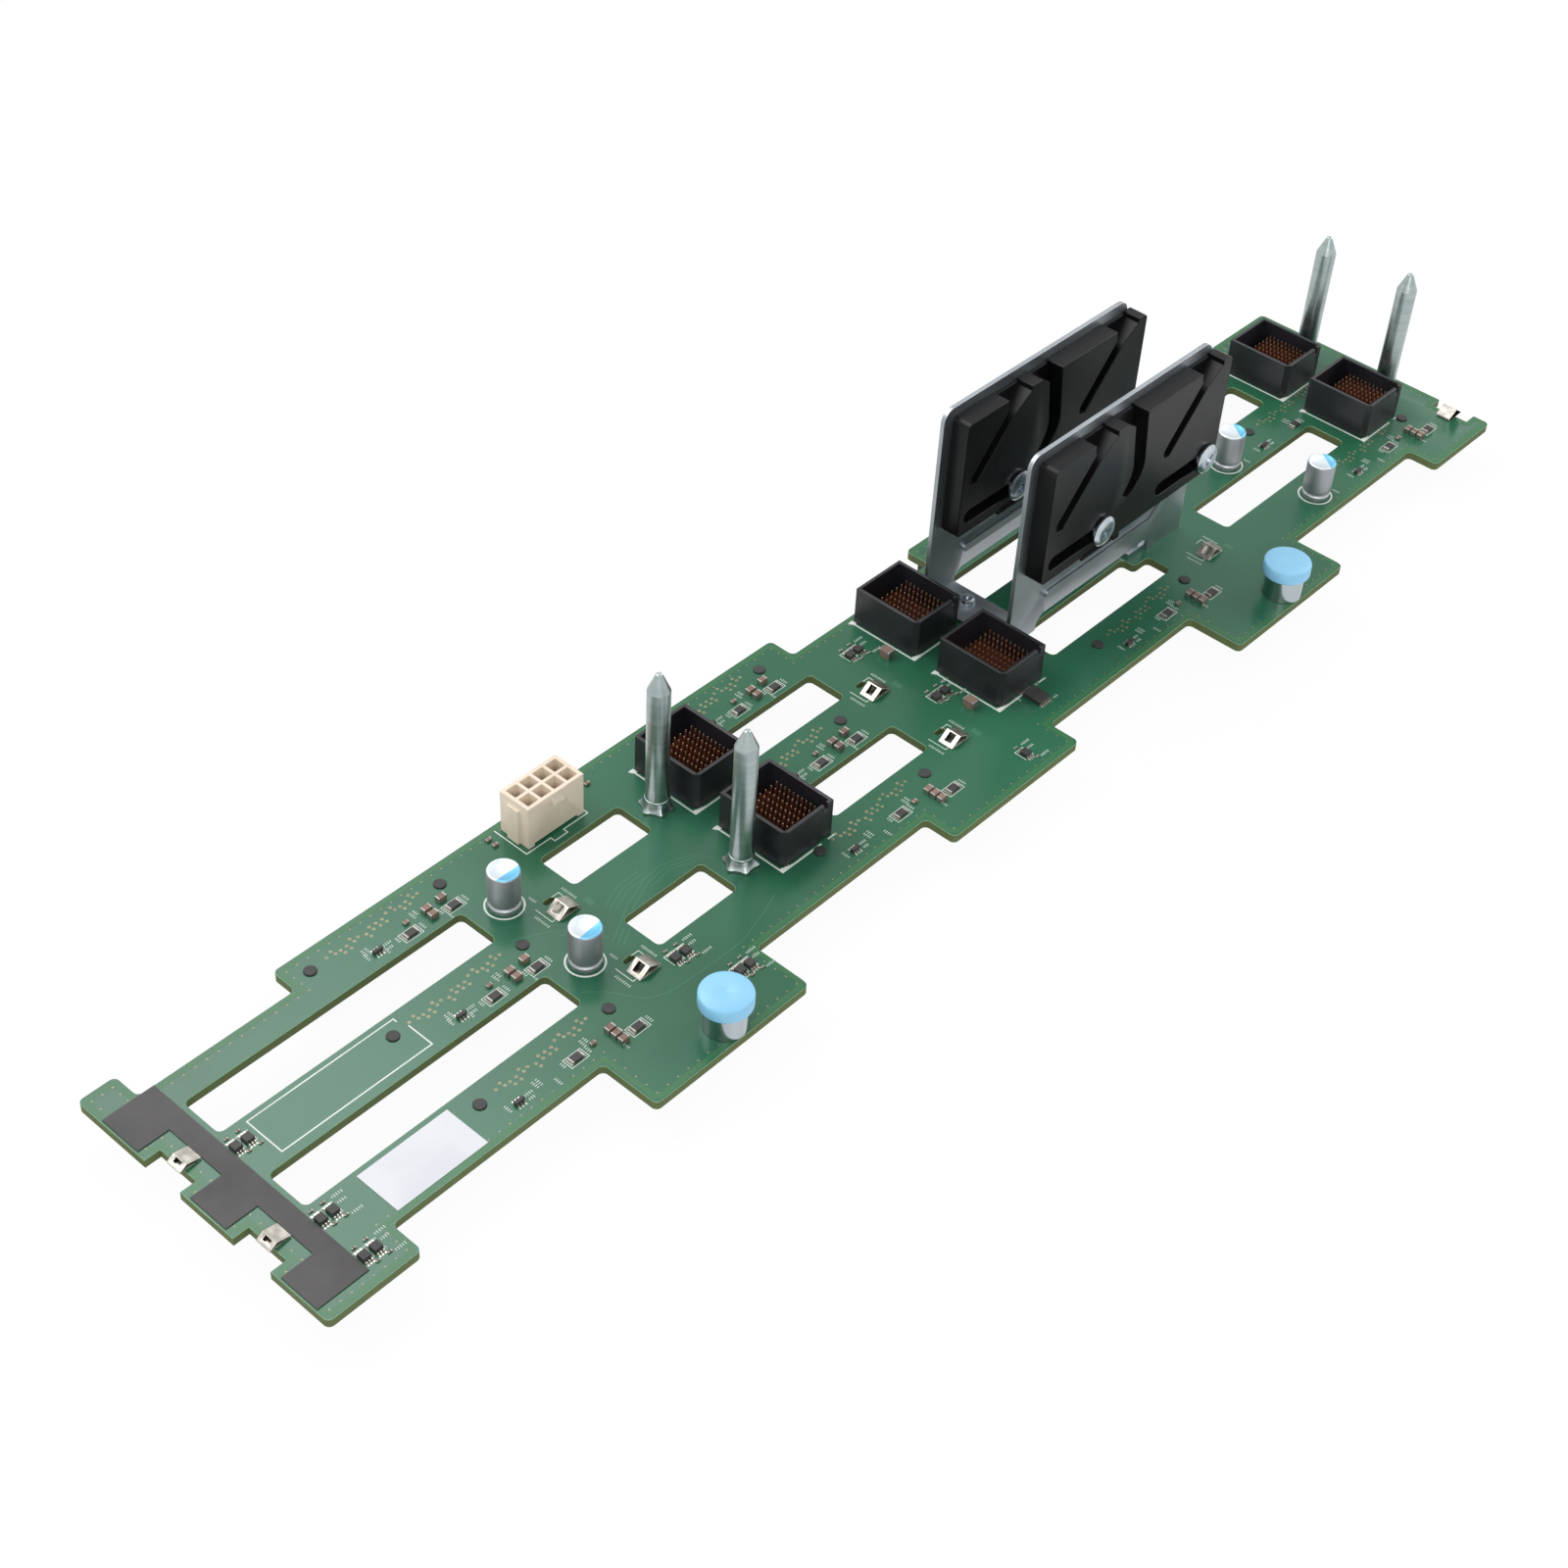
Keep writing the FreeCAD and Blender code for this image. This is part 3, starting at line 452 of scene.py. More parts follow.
# %% Plated holes
stitch_pitch, stitch_radius = 3.1, 0.22
via_pitch, via_radius = 1.85, 0.4
spots = []
stitch = inset_loop(edge_points, 2.2)
for a, b in zip(stitch, stitch[1:] + stitch[:1]):
    run = Vector(b) - Vector(a)
    steps = max(1, round(run.length / stitch_pitch))
    for i in range(steps):
        at = Vector(a) + run * (i / steps)
        spots.append((at.x, at.y, stitch_radius))
for x in columns:
    for y in rows:
        for i in range(16):
            rise = 0.8 * math.sin(i * 1.9) + (1.1 if i > 8 else 0.0)
            for across in (0.0, -1.25) if i % 5 else (0.0,):
                spots.append((x + 5.2 + i * via_pitch - across * 0.3, y + 0.6 + rise + across, via_radius))
bm = bmesh.new()
for x, y, radius in spots:
    puck(bm, x, y, radius, 0.022, 10, 0)
    puck(bm, x, y, radius * 0.5, 0.03, 8, 1)
hand_over(bm, "plated_holes", "backplane", [via_ring, solder_mask])
print("plated holes:", len(spots))

# %% [markdown]
# White ink is printed last. It outlines the headers, the power shroud, the cans and the resistors. Each
# header also has two small filled wedges at its left corners, made of lines that get shorter one by one.

# %% White outlines
cans = ((44.5, 39.6), (45.0, 13.8), (309.1, 23.1), (315.3, -3.0))
header_spots = {"a1": (98.3, 30.35), "b1": (98.3, 2.25), "a2": (179.6, 30.35), "b2": (179.6, 2.25),
                "a3": (348.3, 30.35), "b3": (348.3, 2.25)}
header_width, header_depth = 17.2, 20.6
bm = bmesh.new()
for x, y in cans:
    lathe(bm, [(4.4, 0), (4.4, 0.02), (4.85, 0.02), (4.85, 0), (4.4, 0)], x, y)
close_up(bm)
for x, y in header_spots.values():
    left, low, high = x - 0.75, y - 0.75, y + header_depth + 0.3
    path(bm, [(left, high), (left, low), (x + 12.6, low)], 0.5)
    line(bm, (x + 15.4, low), (x + header_width + 0.6, low), 0.4)
    for i in range(5):
        rise = 0.026 + 0.003 * i
        line(bm, (left, low + 0.25 * i), (left + 4.5 - 0.9 * i, low + 0.25 * i), 0.3, rise)
        line(bm, (left - 0.8 + 0.16 * i, high - 0.3 * i), (left + 0.6, high - 0.3 * i), 0.32, rise)
path(bm, [(59.6, 59.0), (59.6, 48.1), (67.4, 48.1), (67.4, 46.7), (71.6, 46.7), (71.6, 48.1), (79.6, 48.1),
          (79.6, 59.0)], 0.3)
frame_left, frame_right, frame_low, frame_high = -37.2, 3.4, 19.9, 31.3
path(bm, [(frame_right, frame_high - 1.0), (frame_right, frame_high), (frame_left, frame_high),
          (frame_left, frame_low), (frame_right + 1.1, frame_low), (frame_right + 1.1, frame_high - 3.9)],
     0.35)
resistors = [(x + a, y + b) for x in columns[:3] for y in (rows[2], rows[1])
             for a, b in ((23.4, -7.1), (36.2, -7.3))]
resistors += [(x + a, rows[0] + b) for x in columns for a, b in ((23.4, -5.2), (39.2, -8.4))]
for x, y in resistors:
    left, right, low, high = x - 2.6, x + 2.6, y - 1.5, y + 1.5
    path(bm, [(left, low), (right, low), (right, high), (left, high), (left, low)], 0.16)
print("outlines for", len(header_spots), "headers,", len(cans), "cans and", len(resistors), "resistors")

# %% [markdown]
# Where the real board carries names or codes, short plain dashes stand instead. A ray from above tells
# whether there is board under a point, so that no dash hangs over a slot.

# %% Dashes in place of codes
def on_board(x, y):
    hit, found, _, _ = board.ray_cast(spot(x, y, 2.0), (0, 0, -1))
    return hit and found.z > spot(0, 0, -0.2).z


def dashes(x, y, count, turn=-90.0, pitch=0.62):
    """A short row of plain ticks in place of a printed code."""
    a = math.radians(turn)
    for i in range(count):
        at = Vector((x + i * pitch * math.cos(a), y + i * pitch * math.sin(a)))
        side = Vector((-math.sin(a), math.cos(a))) * (0.3 if i % 3 else 0.22)
        if on_board(at.x, at.y):
            line(bm, at - side, at + side, 0.17)


for x, y in resistors:
    dashes(x + 3.6, y + 1.0, 4)
    dashes(x - 3.4, y + 1.2, 3)
bay_codes = ((12.0, -3.4, 4), (13.1, -3.4, 4), (16.2, -6.2, 4), (27.4, -2.2, 4), (28.5, -2.2, 3),
             (33.6, -9.2, 4))
for x in columns:
    for y in rows:
        for dx, dy, count in bay_codes:
            dashes(x + dx, y + dy, count)
for x, y in cans:
    dashes(x + 5.6, y - 2.4, 4)
clip_spots = ((49.4, 29.0), (49.2, 3.0), (158.7, 28.6), (159.0, 3.0), (268.1, 2.5))
for x, y in clip_spots:
    dashes(x - 2.6, y + 2.8, 8)
    dashes(x + 8.2, y + 5.2, 8)
    path(bm, [(x - 1.0, y + 4.4), (x - 1.0, y - 1.0), (x + 2.0, y - 1.0)], 0.18)
    path(bm, [(x + 4.4, y + 4.8), (x + 6.6, y + 4.8), (x + 6.6, y + 1.0)], 0.18)
ink = hand_over(bm, "white_ink_marks", "backplane", [white_ink])
print("ink faces:", len(ink.data.polygons))

# %% [markdown]
# Under the varnish run copper traces. Where a bundle crosses open board its lines show as a slightly paler
# green, so a few thin strips of the paler mask follow the same bends.

# %% Traces under the mask
bm = bmesh.new()
bends = (((54.0, 14.0), (58.5, 16.5), (64.0, 19.4), (72.2, 22.6), (78.6, 23.5), (85.5, 21.2), (89.0, 19.5)),
         ((38.0, 30.0), (45.8, 26.3), (50.2, 22.8), (53.4, 18.2)), ((60.5, 23.1), (67.0, 25.5), (74.0, 25.8)))
runs = [[(x - shift * 0.3, y + shift) for x, y in points] for points in bends for shift in (0.0, -1.3, -2.6)]
runs.append([(37.9, 7.8), (41.6, 4.4), (44.2, 0.0), (46.4, -3.6), (51.2, -6.0), (58.7, -6.5), (66.5, -6.8),
             (75.1, -6.8), (85.2, -4.0), (90.8, -2.0)])
for run in runs:
    for i, (a, b) in enumerate(zip(run, run[1:])):
        between = [Vector(a).lerp(Vector(b), t) for t in (0.0, 0.25, 0.5, 0.75, 1.0)]
        if all(on_board(at.x, at.y) for at in between):
            line(bm, a, b, 0.32, 0.012 + 0.002 * (i % 2))
for x, y in clip_spots:
    brick(bm, (x + 9.6, y - 2.2, 0), (1.6, 2.8, 0.012))
traces = hand_over(bm, "traces", "backplane", [pour_mask])
print("trace faces:", len(traces.data.polygons))

# %% [markdown]
# A signal header is an open shroud. Its copy keeps the CAD walls with softened rims. The floor inside is a
# brown plate, painted lighter as painted light against the shade deep in the shroud. Seventy square pins
# stand on it, each narrowed at its tip, and their shanks are painted dark as painted shade.

# %% Signal headers
tip, floor_part, shank = 0, 1, 2
pins_across, across_pitch = 7, 1.95
pins_along, along_pitch = 10, 1.35
pin_low, pin_high, pin_side = 1.6, 8.0, 0.4


def square_pin(bm, x, y, low, high, side):
    """A square pin whose last part narrows. The shank is painted darker than the tip, as painted shade."""
    levels = []
    for z, half in ((low, side / 2), (high - 0.6, side / 2), (high, side * 0.22)):
        corners = [(x + a * half, y + b * half) for a, b in ((1, 1), (-1, 1), (-1, -1), (1, -1))]
        levels.append([bm.verts.new(spot(*corner, z)) for corner in corners])
    for part, below, above in zip((shank, tip), levels, levels[1:]):
        for i in range(4):
            bm.faces.new((below[i - 1], below[i], above[i], above[i - 1])).material_index = part
    bm.faces.new(levels[-1])


for name, (x, y) in header_spots.items():
    dress("signal_header_" + name, "backplane", header_black, 0.14)
    bm = bmesh.new()
    brick(bm, (x + header_width / 2, y + header_depth / 2, pin_low), (15.2, 18.6, 0.05), 0, floor_part)
    for i in range(pins_across):
        for j in range(pins_along):
            across = (i - (pins_across - 1) / 2) * across_pitch
            along = (j - (pins_along - 1) / 2) * along_pitch
            square_pin(bm, x + 8.9 + across, y + 9.7 + along, pin_low, pin_high, pin_side)
    pins = hand_over(bm, "pins_" + name, "backplane", [gold, pin_floor_painted_light, pin_shank_painted_shade])
    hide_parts("header_pins_" + name)
print("headers dressed")

# %% [markdown]
# The drive connectors hang under the board. From above only their locating pegs show, as dark round ends.
# From below each has two slots, and a row of flat contacts stands along both walls of each slot.

# %% Drive connectors
peg_gap = 38.6
peg_outline = [(1.56, 0.0), (1.56, 0.3), (1.4, 0.44), (0, 0.46)]
contact_pitch = 1.1
contact_low, contact_size = -9.9, (0.5, 0.12, 4.9)
slots = ((-0.5, 14.6), (15.7, 23.4))
slot_walls = (-1.14, 1.14)
contacts = bmesh.new()
pegs = bmesh.new()
for letter, y in zip("cba", rows):
    for number, x in enumerate(columns, 1):
        dress(f"drive_connector_{letter}{number}", "backplane", connector_black, 0.2)
        for peg in (x, x + peg_gap):
            lathe(pegs, peg_outline, peg, y, 24)
        for start, length in slots:
            count = int(length / contact_pitch)
            for i in range(count):
                along = x + start + length / 2 + (i - (count - 1) / 2) * contact_pitch
                for wall in slot_walls:
                    brick(contacts, (along, y + wall, contact_low), contact_size)
close_up(pegs)
hand_over(pegs, "peg_ends", "backplane", [connector_black])
contacts = hand_over(contacts, "drive_contacts", "backplane", [gold])
print("contact faces:", len(contacts.data.polygons))

# %% [markdown]
# Guide pins are turned from bar and zinc plated. The tip is a blunt cone and the foot a six-sided flare.

# %% Guide pins
def hollow_foot(bm, x, y, rings, sides=48):
    """A six-sided foot whose flanks curve in: the radius swings between the flats and the corners."""
    levels = []
    for flat, corner, z in rings:
        ring = []
        for i in range(sides):
            a = 2 * math.pi * i / sides
            radius = flat + (corner - flat) * abs(math.cos(3 * a)) ** 4
            ring.append(bm.verts.new(spot(x + radius * math.cos(a), y + radius * math.sin(a), z)))
        levels.append(ring)
    for below, above in zip(levels, levels[1:]):
        for i in range(sides):
            bm.faces.new((below[i - 1], below[i], above[i], above[i - 1]))


pin_spots = ((92.8, 38.05), (92.8, 10.55), (371.0, 38.05), (371.0, 10.55))
shank_outline = [(3.0, 2.9), (3.05, 3.1), (3.05, 3.4), (2.95, 3.5), (2.875, 3.55), (2.875, 36.6),
                 (2.8, 36.85), (0.8, 41.5), (0.5, 41.7), (0, 41.7)]
foot_rings = ((3.65, 4.45, 0.0), (3.72, 4.54, 0.2), (3.68, 4.54, 0.85), (3.3, 3.9, 1.5), (3.1, 3.4, 2.3),
              (3.0, 3.08, 3.0), (2.98, 3.0, 3.1))
for number, (x, y) in enumerate(pin_spots, 1):
    bm = bmesh.new()
    lathe(bm, shank_outline, x, y, 64)
    hollow_foot(bm, x, y, foot_rings)
    close_up(bm)
    pin = hand_over(bm, f"guide_pin_{number}_dressed", "backplane", [guide_steel], 22.0)
    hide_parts(f"guide_pin_{number}")
print("guide pins:", len(pin_spots))

# %% Power connector
dress("power_connector", "backplane", ivory, 0.12)
paint("power_pins", tin)
print("power connector dressed")

# %% [markdown]
# A polymer capacitor is a drawn aluminium can: a rolled bead grips the seal near the foot, and the top has
# a rounded rim and a printed segment of blue. The bead gets a brighter metal, as a painted highlight. All
# four tops share one material, and each can has its own direction that points to its blue side.

# %% The printed tops
blue_sides = ((0.0, -1.0), (0.1, -1.0), (0.8, -0.6), (0.8, -0.6))
blue_from = 1.3 * MM
near_can = 4.6 * MM


def can_top_finish():
    material, s, shader = new_finish("can_top", 0.35, 0.6)
    where = place(s)
    x = s.node("SeparateXYZ", Vector=where, out=0)
    y = s.node("SeparateXYZ", Vector=where, out=1)
    blue = None
    for can, (ax, ay) in zip(cans, blue_sides):
        middle = spot(*can)
        near = s.math("ABSOLUTE", x - middle.x) < near_can
        near = near * (s.math("ABSOLUTE", y - middle.y) < near_can)
        here = near * (((x - middle.x) * ax + (y - middle.y) * ay) > blue_from)
        blue = here if blue is None else blue + here
    grain = noise(s, 1200.0, 2.0, where)
    s.plug(shader.inputs["Base Color"], s.mix(blue, rgb(216, 224, 230), rgb(112, 186, 224)))
    s.plug(shader.inputs["Roughness"], 0.3 + grain * 0.2)
    bump(s, shader, grain, 0.00002)
    return material


can_top = can_top_finish()
print("blue segments:", len(blue_sides))

# %% Capacitor cans
can_outline = [(0, 0.02), (3.7, 0.02), (3.72, 0.85), (3.96, 1.1), (3.98, 1.3), (3.85, 1.62), (3.58, 1.85),
               (3.55, 2.1), (3.78, 2.45), (3.95, 2.7), (3.98, 3.0), (3.98, 10.9), (3.85, 11.25), (3.6, 11.42),
               (3.35, 11.42), (3.25, 11.34), (0, 11.34)]
bead_low, bead_high, top_from = 1.3, 1.6, 11.2
for number, (x, y) in enumerate(cans, 1):
    bm = bmesh.new()
    lathe(bm, can_outline, x, y, 56)
    close_up(bm)
    for face in bm.faces:
        height = (face.calc_center_median().z - zero.z) / MM
        if height > top_from:
            face.material_index = 1
        # The bead's band gets the painted highlight.
        elif bead_low < height < bead_high:
            face.material_index = 2
    can = hand_over(bm, f"can_{number}", "backplane", [can_skin, can_top, bead_painted_highlight], 40.0)
    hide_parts(f"bulk_capacitor_{number}")
print("cans:", len(cans))

# %% [markdown]
# Each release pin is a polished sleeve with a blue cap. The cap has softly rounded rims and a gate mark.

# %% Release pins
cap_outline = [(0, 6.9), (5.9, 6.9), (6.25, 7.05), (6.4, 7.4), (6.4, 10.05), (6.25, 10.4), (5.85, 10.58),
               (0.9, 10.6), (0.6, 10.48), (0, 10.48)]
for number, (x, y) in enumerate(((53.3, -21.35), (271.3, -21.35)), 1):
    bm = bmesh.new()
    lathe(bm, cap_outline, x, y, 72)
    close_up(bm)
    knob = hand_over(bm, f"cap_{number}", f"release_pin_{number}", [knob_blue], 50.0)
    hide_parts(f"release_knob_{number}")
    dress(f"release_barrel_{number}", "backplane", sleeve_steel, 0.15)
    paint(f"release_plunger_{number}", guide_steel)
print("release pins dressed")

# %% [markdown]
# The bracket is folded from zinc coated sheet, and the cams are black nylon plates that slide on shoulder
# screws. Their edges carry most of the light, so both are bevelled, and the cams more widely than any other
# piece. A row of fine teeth and one stop hang from each cam's lower edge, and a thin web ties its top behind
# the grooves.

# %% Bracket and cams
first_tooth, tooth_pitch, teeth = 220.1, 0.98, 13
stop_x, plate_middle = 234.6, 240.05
dress("guide_bracket", "backplane", zinc_sheet, 0.14, 40.0)
for side, face in (("front", 9.95), ("rear", 37.45)):
    dress(f"cam_plate_{side}", f"cam_{side}", cam_black, 0.35)
    bm = bmesh.new()
    for i in range(teeth):
        brick(bm, (first_tooth + i * tooth_pitch, face + 0.6, 20.7), (0.5, 1.2, 1.5), 0.08)
    brick(bm, (stop_x, face + 1.0, 19.9), (2.6, 2.0, 2.3), 0.3)
    brick(bm, (plate_middle, face + 4.9, 50.4), (72.2, 0.6, 6.2), 0.1)
    hand_over(bm, f"rack_teeth_{side}", f"cam_{side}", [cam_black])
print("bracket and cams dressed")

# %% [markdown]
# A screw head is a low dome with a cross cut into it. Each kind is made once at the origin and then copied to
# its places. Under it stand the shoulder that the cam slides on, and the thread, as plain round stubs.

# %% A head with a cross recess
def cross_head(radius, height):
    """A low domed head with a cross cut into it, looking up from the origin."""
    bm = bmesh.new()
    rings = []
    for r, z in ((0.96, 0), (1.0, 0.15), (1.0, 0.55), (0.86, 0.9), (0.62, 1.0)):
        at = Matrix.Translation((0, 0, z * height * MM))
        rings.append(bmesh.ops.create_circle(bm, segments=32, radius=r * radius * MM, matrix=at)["verts"])
    edges = [[e for e in bm.edges if e.verts[0] in ring and e.verts[1] in ring] for ring in map(set, rings)]
    for low, high in zip(edges, edges[1:]):
        bmesh.ops.bridge_loops(bm, edges=low + high)
    arm, half = radius * 0.42, radius * 0.11
    outline = [(half, half), (half, arm), (-half, arm), (-half, half), (-arm, half), (-arm, -half),
               (-half, -half), (-half, -arm), (half, -arm), (half, -half), (arm, -half), (arm, half)]
    cross = [bm.verts.new((a * MM, b * MM, height * MM)) for a, b in outline]
    loop = [bm.edges.new(pair) for pair in zip(cross, cross[1:] + cross[:1])]
    bmesh.ops.triangle_fill(bm, edges=edges[-1] + loop, use_beauty=True)
    grown = bmesh.ops.extrude_edge_only(bm, edges=loop)["geom"]
    deep = [v for v in grown if isinstance(v, bmesh.types.BMVert)]
    bmesh.ops.translate(bm, verts=deep, vec=(0, 0, -height * 0.55 * MM))
    floor_edges = [e for e in grown if isinstance(e, bmesh.types.BMEdge) and all(v in deep for v in e.verts)]
    bmesh.ops.contextual_create(bm, geom=floor_edges)
    close_up(bm)
    return bm


def turned(facing):
    """The turn that brings the upright axis to face a direction."""
    return Vector((0, 0, 1)).rotation_difference(Vector(facing)).to_matrix().to_4x4()


def placed(source, target, where, facing, roll):
    """Adds a copy of one bmesh to another, moved to a place and turned to face a direction."""
    shape = Matrix.Translation(where) @ turned(facing) @ Matrix.Rotation(roll, 4, "Z")
    copies = {v: target.verts.new(shape @ v.co) for v in source.verts}
    for face in source.faces:
        target.faces.new([copies[v] for v in face.verts])


def stub(bm, start, facing, radius, length, sides=24):
    """A round bar from a start point along a direction."""
    middle = start + Vector(facing) * (length / 2 * MM)
    bmesh.ops.create_cone(bm, cap_ends=True, segments=sides, radius1=radius * MM, radius2=radius * MM,
                          depth=length * MM, matrix=Matrix.Translation(middle) @ turned(facing))


head = cross_head(4.2, 1.6)
small_head = cross_head(2.1, 1.5)
print("head faces:", len(head.faces))

# %% Screws
ahead, behind, up, down = (0, -1, 0), (0, 1, 0), (0, 0, 1), (0, 0, -1)
shoulder_radius, shoulder_length = 2.0, 5.55
bm = bmesh.new()
for y in (15.3, 42.8):
    for x, roll in ((226.7, 0.3), (272.3, 0.8)):
        placed(head, bm, spot(x, y - 5.5, 27.3), ahead, roll)
        stub(bm, spot(x, y, 27.3), ahead, shoulder_radius, shoulder_length)
        stub(bm, spot(x, y, 27.3), behind, 1.5, 2.6)
screws = hand_over(bm, "cam_screws_dressed", "backplane", [screw_steel], 35.0)
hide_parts("cam_screws")
bm = bmesh.new()
for x, y in ((206.1, 34.5), (257.6, 18.9), (257.6, 46.45)):
    placed(small_head, bm, spot(x, y, 1.2), up, 0.5)
    stub(bm, spot(x, y, 1.25), down, 1.1, 4.4, 12)
screws = hand_over(bm, "bracket_screws_dressed", "backplane", [screw_steel], 35.0)
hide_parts("bracket_screws")
head.free()
small_head.free()
print("screws made")

# %% Clips, film and label
dress("grounding_clips", "backplane", tin, 0.06)
paint("insulator_sheet", film_grey)
paint("plain_label", paper_white)
print("clips, film and label finished")

# %% [markdown]
# Small parts are soldered on, so each has metal at its ends. The CAD gives each of them as one plain block.
# Its copy is read block by block: each block's box gives the place and size for a body and its end caps or
# leads, and for the resistors and chips also a flat pad of solder.

# %% Blocks and caps
def blocks(node):
    """The box of each loose block in a node, as (low corner, high corner) in scene metres."""
    bm = bmesh.new()
    bm.from_mesh(nodes[node].data)
    bmesh.ops.remove_doubles(bm, verts=bm.verts, dist=weld)
    found, seen = [], set()
    for start in bm.verts:
        if start in seen:
            continue
        group, front = [], [start]
        seen.add(start)
        while front:
            v = front.pop()
            group.append(v.co.copy())
            for e in v.link_edges:
                other = e.other_vert(v)
                if other not in seen:
                    seen.add(other)
                    front.append(other)
        low = Vector([min(c[i] for c in group) for i in range(3)])
        high = Vector([max(c[i] for c in group) for i in range(3)])
        found.append((low, high))
    bm.free()
    return found


def slab(bm, low, high, finish, bevel=0.0):
    """A block between two corners in scene metres."""
    block(bm, Matrix.Translation((low + high) / 2) @ Matrix.Diagonal((*(high - low), 1)), finish, bevel)


def capped(bm, low, high, axis, share, grow):
    """A block with metal caps over both ends along one axis."""
    run = (high - low)[axis] * share
    inner_low, inner_high = low.copy(), high.copy()
    inner_low[axis] += run
    inner_high[axis] -= run
    inner_high.z -= grow * MM
    slab(bm, inner_low, inner_high, 0, 0.06)
    for side in (0, 1):
        a, b = low.copy(), high.copy()
        if side:
            a[axis] = high[axis] - run
        else:
            b[axis] = low[axis] + run
        slab(bm, a, b, 1, 0.08)


def pad(bm, x0, x1, y0, y1, low, height):
    """A low slab of the second finish, which stands for a lead or for solder."""
    slab(bm, Vector((x0, y0, low)), Vector((x1, y1, low + height)), 1)


print("block helpers ready")

# %% Resistors and ceramic capacitors
bm = bmesh.new()
for low, high in blocks("sense_resistors"):
    capped(bm, low, high, 0, 0.13, 0.04)
    pad(bm, low.x - 0.0004, high.x + 0.0004, low.y - 0.0001, high.y + 0.0001, low.z, 0.00004)
piece = hand_over(bm, "resistors_dressed", "backplane", [chip_black, solder])
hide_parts("sense_resistors")
bm = bmesh.new()
for low, high in blocks("ceramic_capacitors"):
    axis = 1 if (high.y - low.y) > (high.x - low.x) else 0
    capped(bm, low, high, axis, 0.16, 0.03)
piece = hand_over(bm, "ceramics_dressed", "backplane", [ceramic_brown, solder])
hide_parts("ceramic_capacitors")
print("resistors and ceramics dressed")

# %% Small chips
lead_pitch, lead_half, lead_height = 0.00085, 0.0002, 0.00045
pad_half, pad_height, pad_reach = 0.00022, 0.00003, 0.0006
lift = Vector((0, 0, 0.00012))
chips = blocks("small_chips")
bm = bmesh.new()
for low, high in chips:
    inset = Vector((0, min(0.0006, (high.y - low.y) * 0.2), 0))
    slab(bm, low + inset + lift, high - inset, 0, 0.08)
    count = max(2, round((high.x - low.x) / lead_pitch))
    for i in range(count):
        x = low.x + (high.x - low.x) * (i + 0.5) / count
        for y0, y1, out in ((low.y, low.y + inset.y, -pad_reach), (high.y - inset.y, high.y, pad_reach)):
            pad(bm, x - lead_half, x + lead_half, y0, y1, low.z, lead_height)
            ends = (y0, y1, y0 + out, y1 + out)
            pad(bm, x - pad_half, x + pad_half, min(ends), max(ends), low.z, pad_height)
piece = hand_over(bm, "chips_dressed", "backplane", [chip_black, tin])
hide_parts("small_chips")
print("chips:", len(chips))

# %% [markdown]
# Most chips are small regulators in a printed frame, with a tiny part at each end and a code beside them.
# The codes run to the right where no other chip and no printed frame stands in the way.

# %% Frames, codes and tiny parts around the chips
bm = bmesh.new()
tiny = bmesh.new()
boxes = [((low - zero) / MM, (high - zero) / MM) for low, high in chips]
for low, high in boxes:
    crowded = any(0 < other.x - low.x < 4.0 and abs(other.y - low.y) < 1.0 for other, _ in boxes)
    if 3.0 < high.y - low.y < 4.0:
        left, right, front, back = low.x - 0.4, high.x + 0.4, low.y + 0.4, high.y + 0.5
        path(bm, [(left, front), (left, back), (right, back), (right, front)], 0.18)
        for x, y in ((low.x + 0.5, high.y + 1.2), (high.x - 0.3, low.y - 1.2)):
            corner = spot(x, y)
            if on_board(x, y) and on_board(x + 1.1, y):
                capped(tiny, corner, corner + Vector((1.1, 0.55, 0.4)) * MM, 0, 0.28, 0.02)
        codes = ((high.x + 1.2, high.y + 1.3, 5), (high.x + 1.2, high.y - 0.6, 4),
                 (high.x + 1.5, low.y - 1.3, 5))
    else:
        codes = ((high.x + 1.0, high.y - 0.2, 4), (high.x + 1.0, low.y, 3))
        dashes(low.x - 1.6, high.y + 0.6, 4)
    for x, y, count in codes:
        framed = frame_low - 0.5 < y < frame_high + 0.5 and x < frame_right
        if not crowded and not framed:
            dashes(x, y, count, 0.0)
code_ink = hand_over(bm, "ink_codes", "backplane", [white_ink])
tiny = hand_over(tiny, "tiny_parts", "backplane", [ceramic_brown, solder])
print("code faces:", len(code_ink.data.polygons), "tiny part faces:", len(tiny.data.polygons))

# %% [markdown]
# The photograph has a white ground. The floor and the sky are white to the camera, in mirror images and
# through glass, and a little darker as lights, so that the board keeps its contrast.

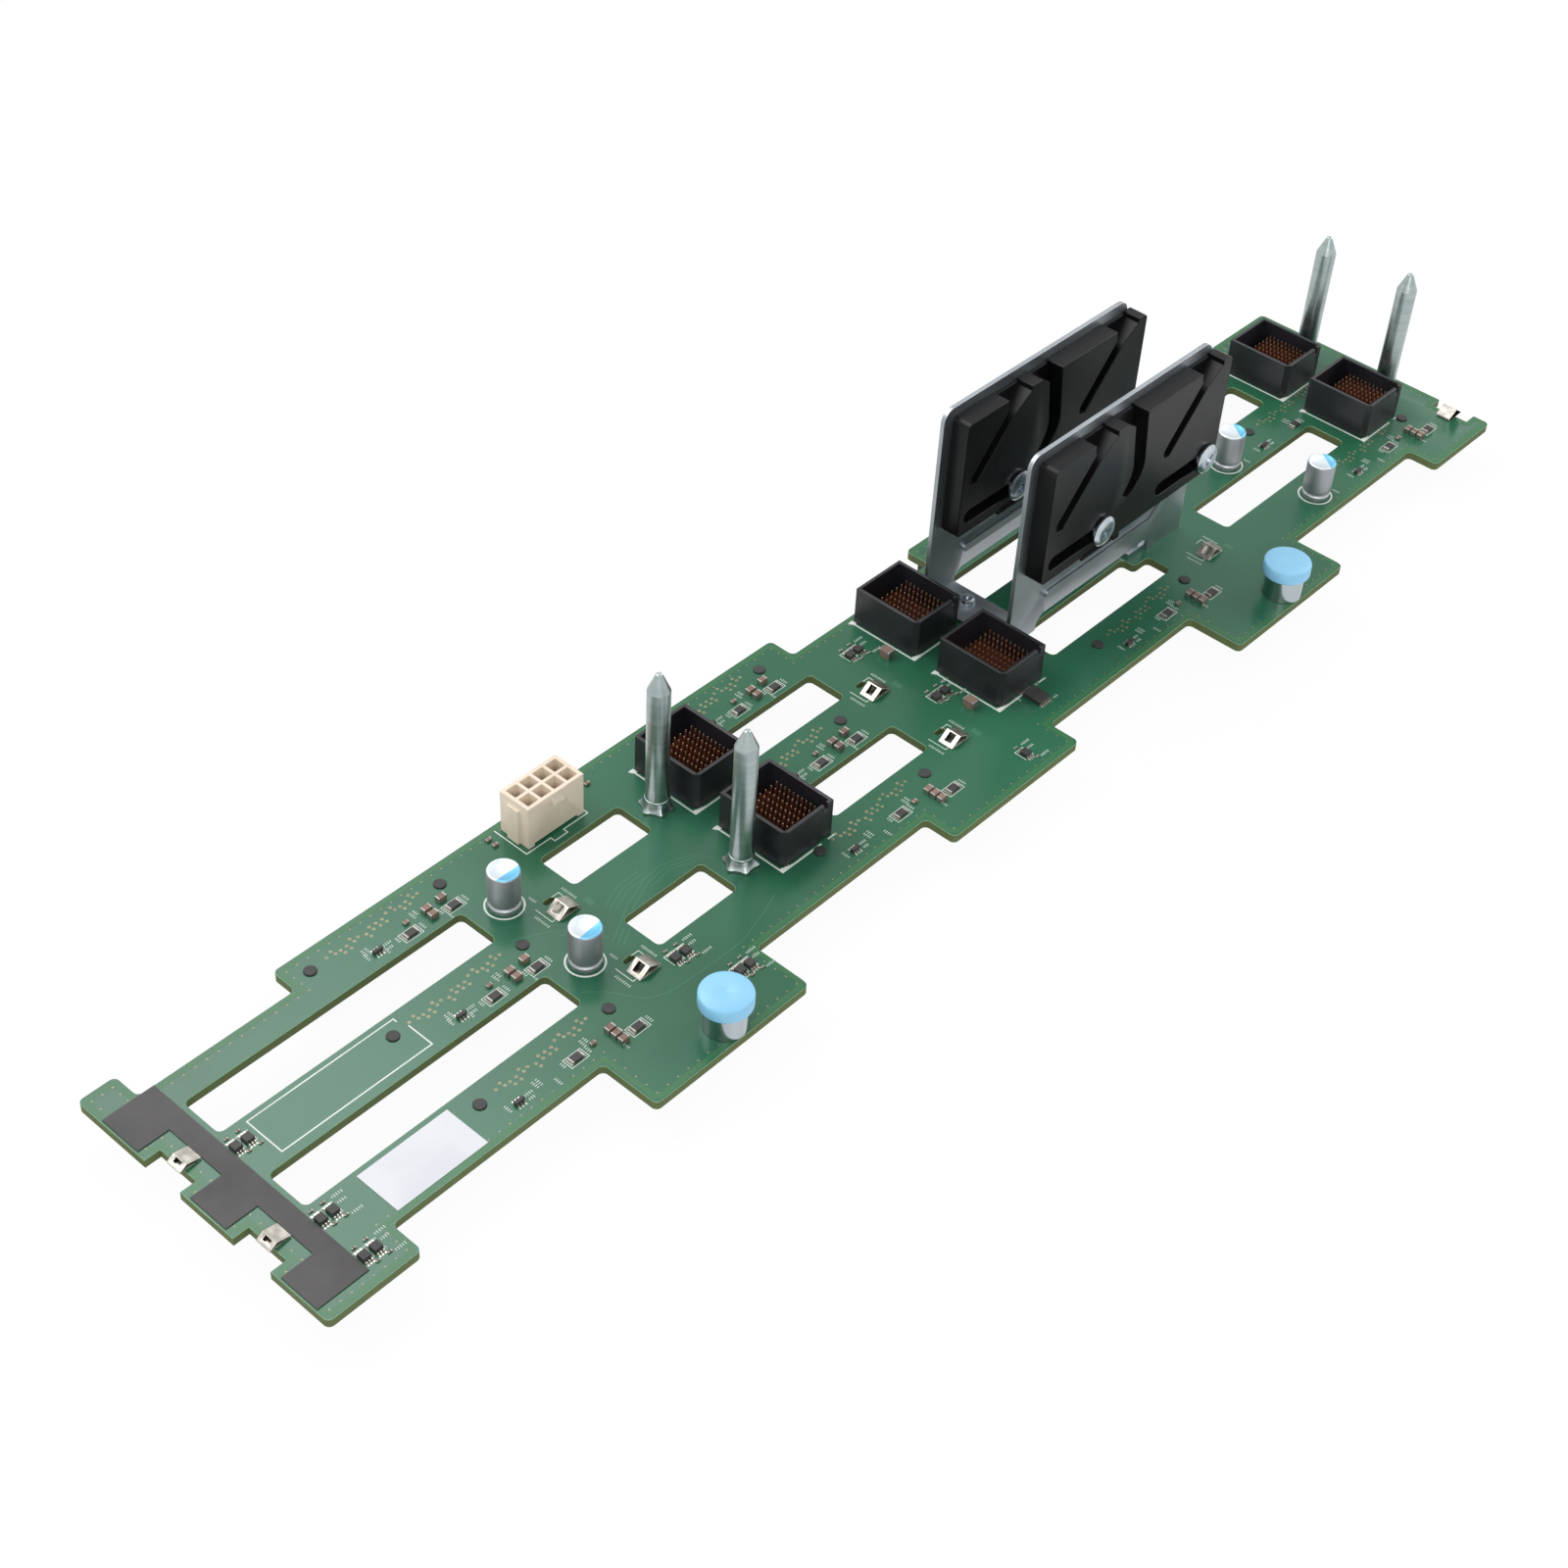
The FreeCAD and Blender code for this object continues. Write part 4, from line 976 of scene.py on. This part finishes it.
# %% Floor and sky
def seen_directly(shade):
    """1 for camera, mirror-like and passing rays, and 0 for the rays that only carry light."""
    camera_ray, glossy_ray, passing_ray = [shade.node("LightPath", out=i) for i in (0, 3, 6)]
    return shade.math("MAXIMUM", shade.math("MAXIMUM", camera_ray, glossy_ray), passing_ray)


bm = bmesh.new()
bmesh.ops.create_grid(bm, x_segments=1, y_segments=1, size=6.0)
mesh = bpy.data.meshes.new("floor")
bm.to_mesh(mesh)
bm.free()
floor = bpy.data.objects.new("floor", mesh)
bpy.context.scene.collection.objects.link(floor)
material, s, shader = new_finish("floor_white", 0.9)
shader.inputs["Base Color"].default_value = (0.9, 0.9, 0.9, 1)
glow = s.node("Emission", Color=(1, 1, 1), Strength=1.0)
blend = s.tree.nodes.new("ShaderNodeMixShader")
s.plug(blend.inputs[0], seen_directly(s) * 0.95)
s.tree.links.new(shader.outputs[0], blend.inputs[1])
s.tree.links.new(glow.socket, blend.inputs[2])
s.tree.links.new(blend.outputs[0], s.tree.nodes["Material Output"].inputs[0])
mesh.materials.append(material)

world = bpy.data.worlds.new("studio")
bpy.context.scene.world = world
world.use_nodes = True
w = Shade(world.node_tree)
back = world.node_tree.nodes["Background"]
w.plug(back.inputs["Color"], (1.0, 1.0, 1.0))
w.plug(back.inputs["Strength"], 0.55 + seen_directly(w) * 0.45)
print("floor and sky ready")

# %% [markdown]
# Soft light comes from above and behind, and lays a pale sheen on the left half of the board. A large lamp
# over the far side gives that sheen. A second one is the key, and two weaker ones fill the front and the
# right.

# %% Lamps
def lamp(name, where, target, size, power):
    data = bpy.data.lights.new(name, "AREA")
    data.shape = "DISK"
    data.size = size
    data.energy = power
    made = bpy.data.objects.new(name, data)
    made.location = where
    made.rotation_euler = (Vector(target) - Vector(where)).to_track_quat("-Z", "Y").to_euler()
    bpy.context.scene.collection.objects.link(made)


lamp("sheen", (0.34, 0.95, 1.5), (-0.15, 0, 0), 0.75, 7.0)
lamp("key", (-0.6, 0.9, 1.3), (0, 0, 0), 1.0, 10.0)
lamp("fill", (-0.9, -0.9, 0.9), (0, 0, 0.02), 0.9, 7.0)
lamp("right", (1.1, -0.2, 0.8), (0.1, 0, 0.02), 0.6, 4.0)
bpy.context.scene.view_settings.view_transform = "Standard"
print("stage set")
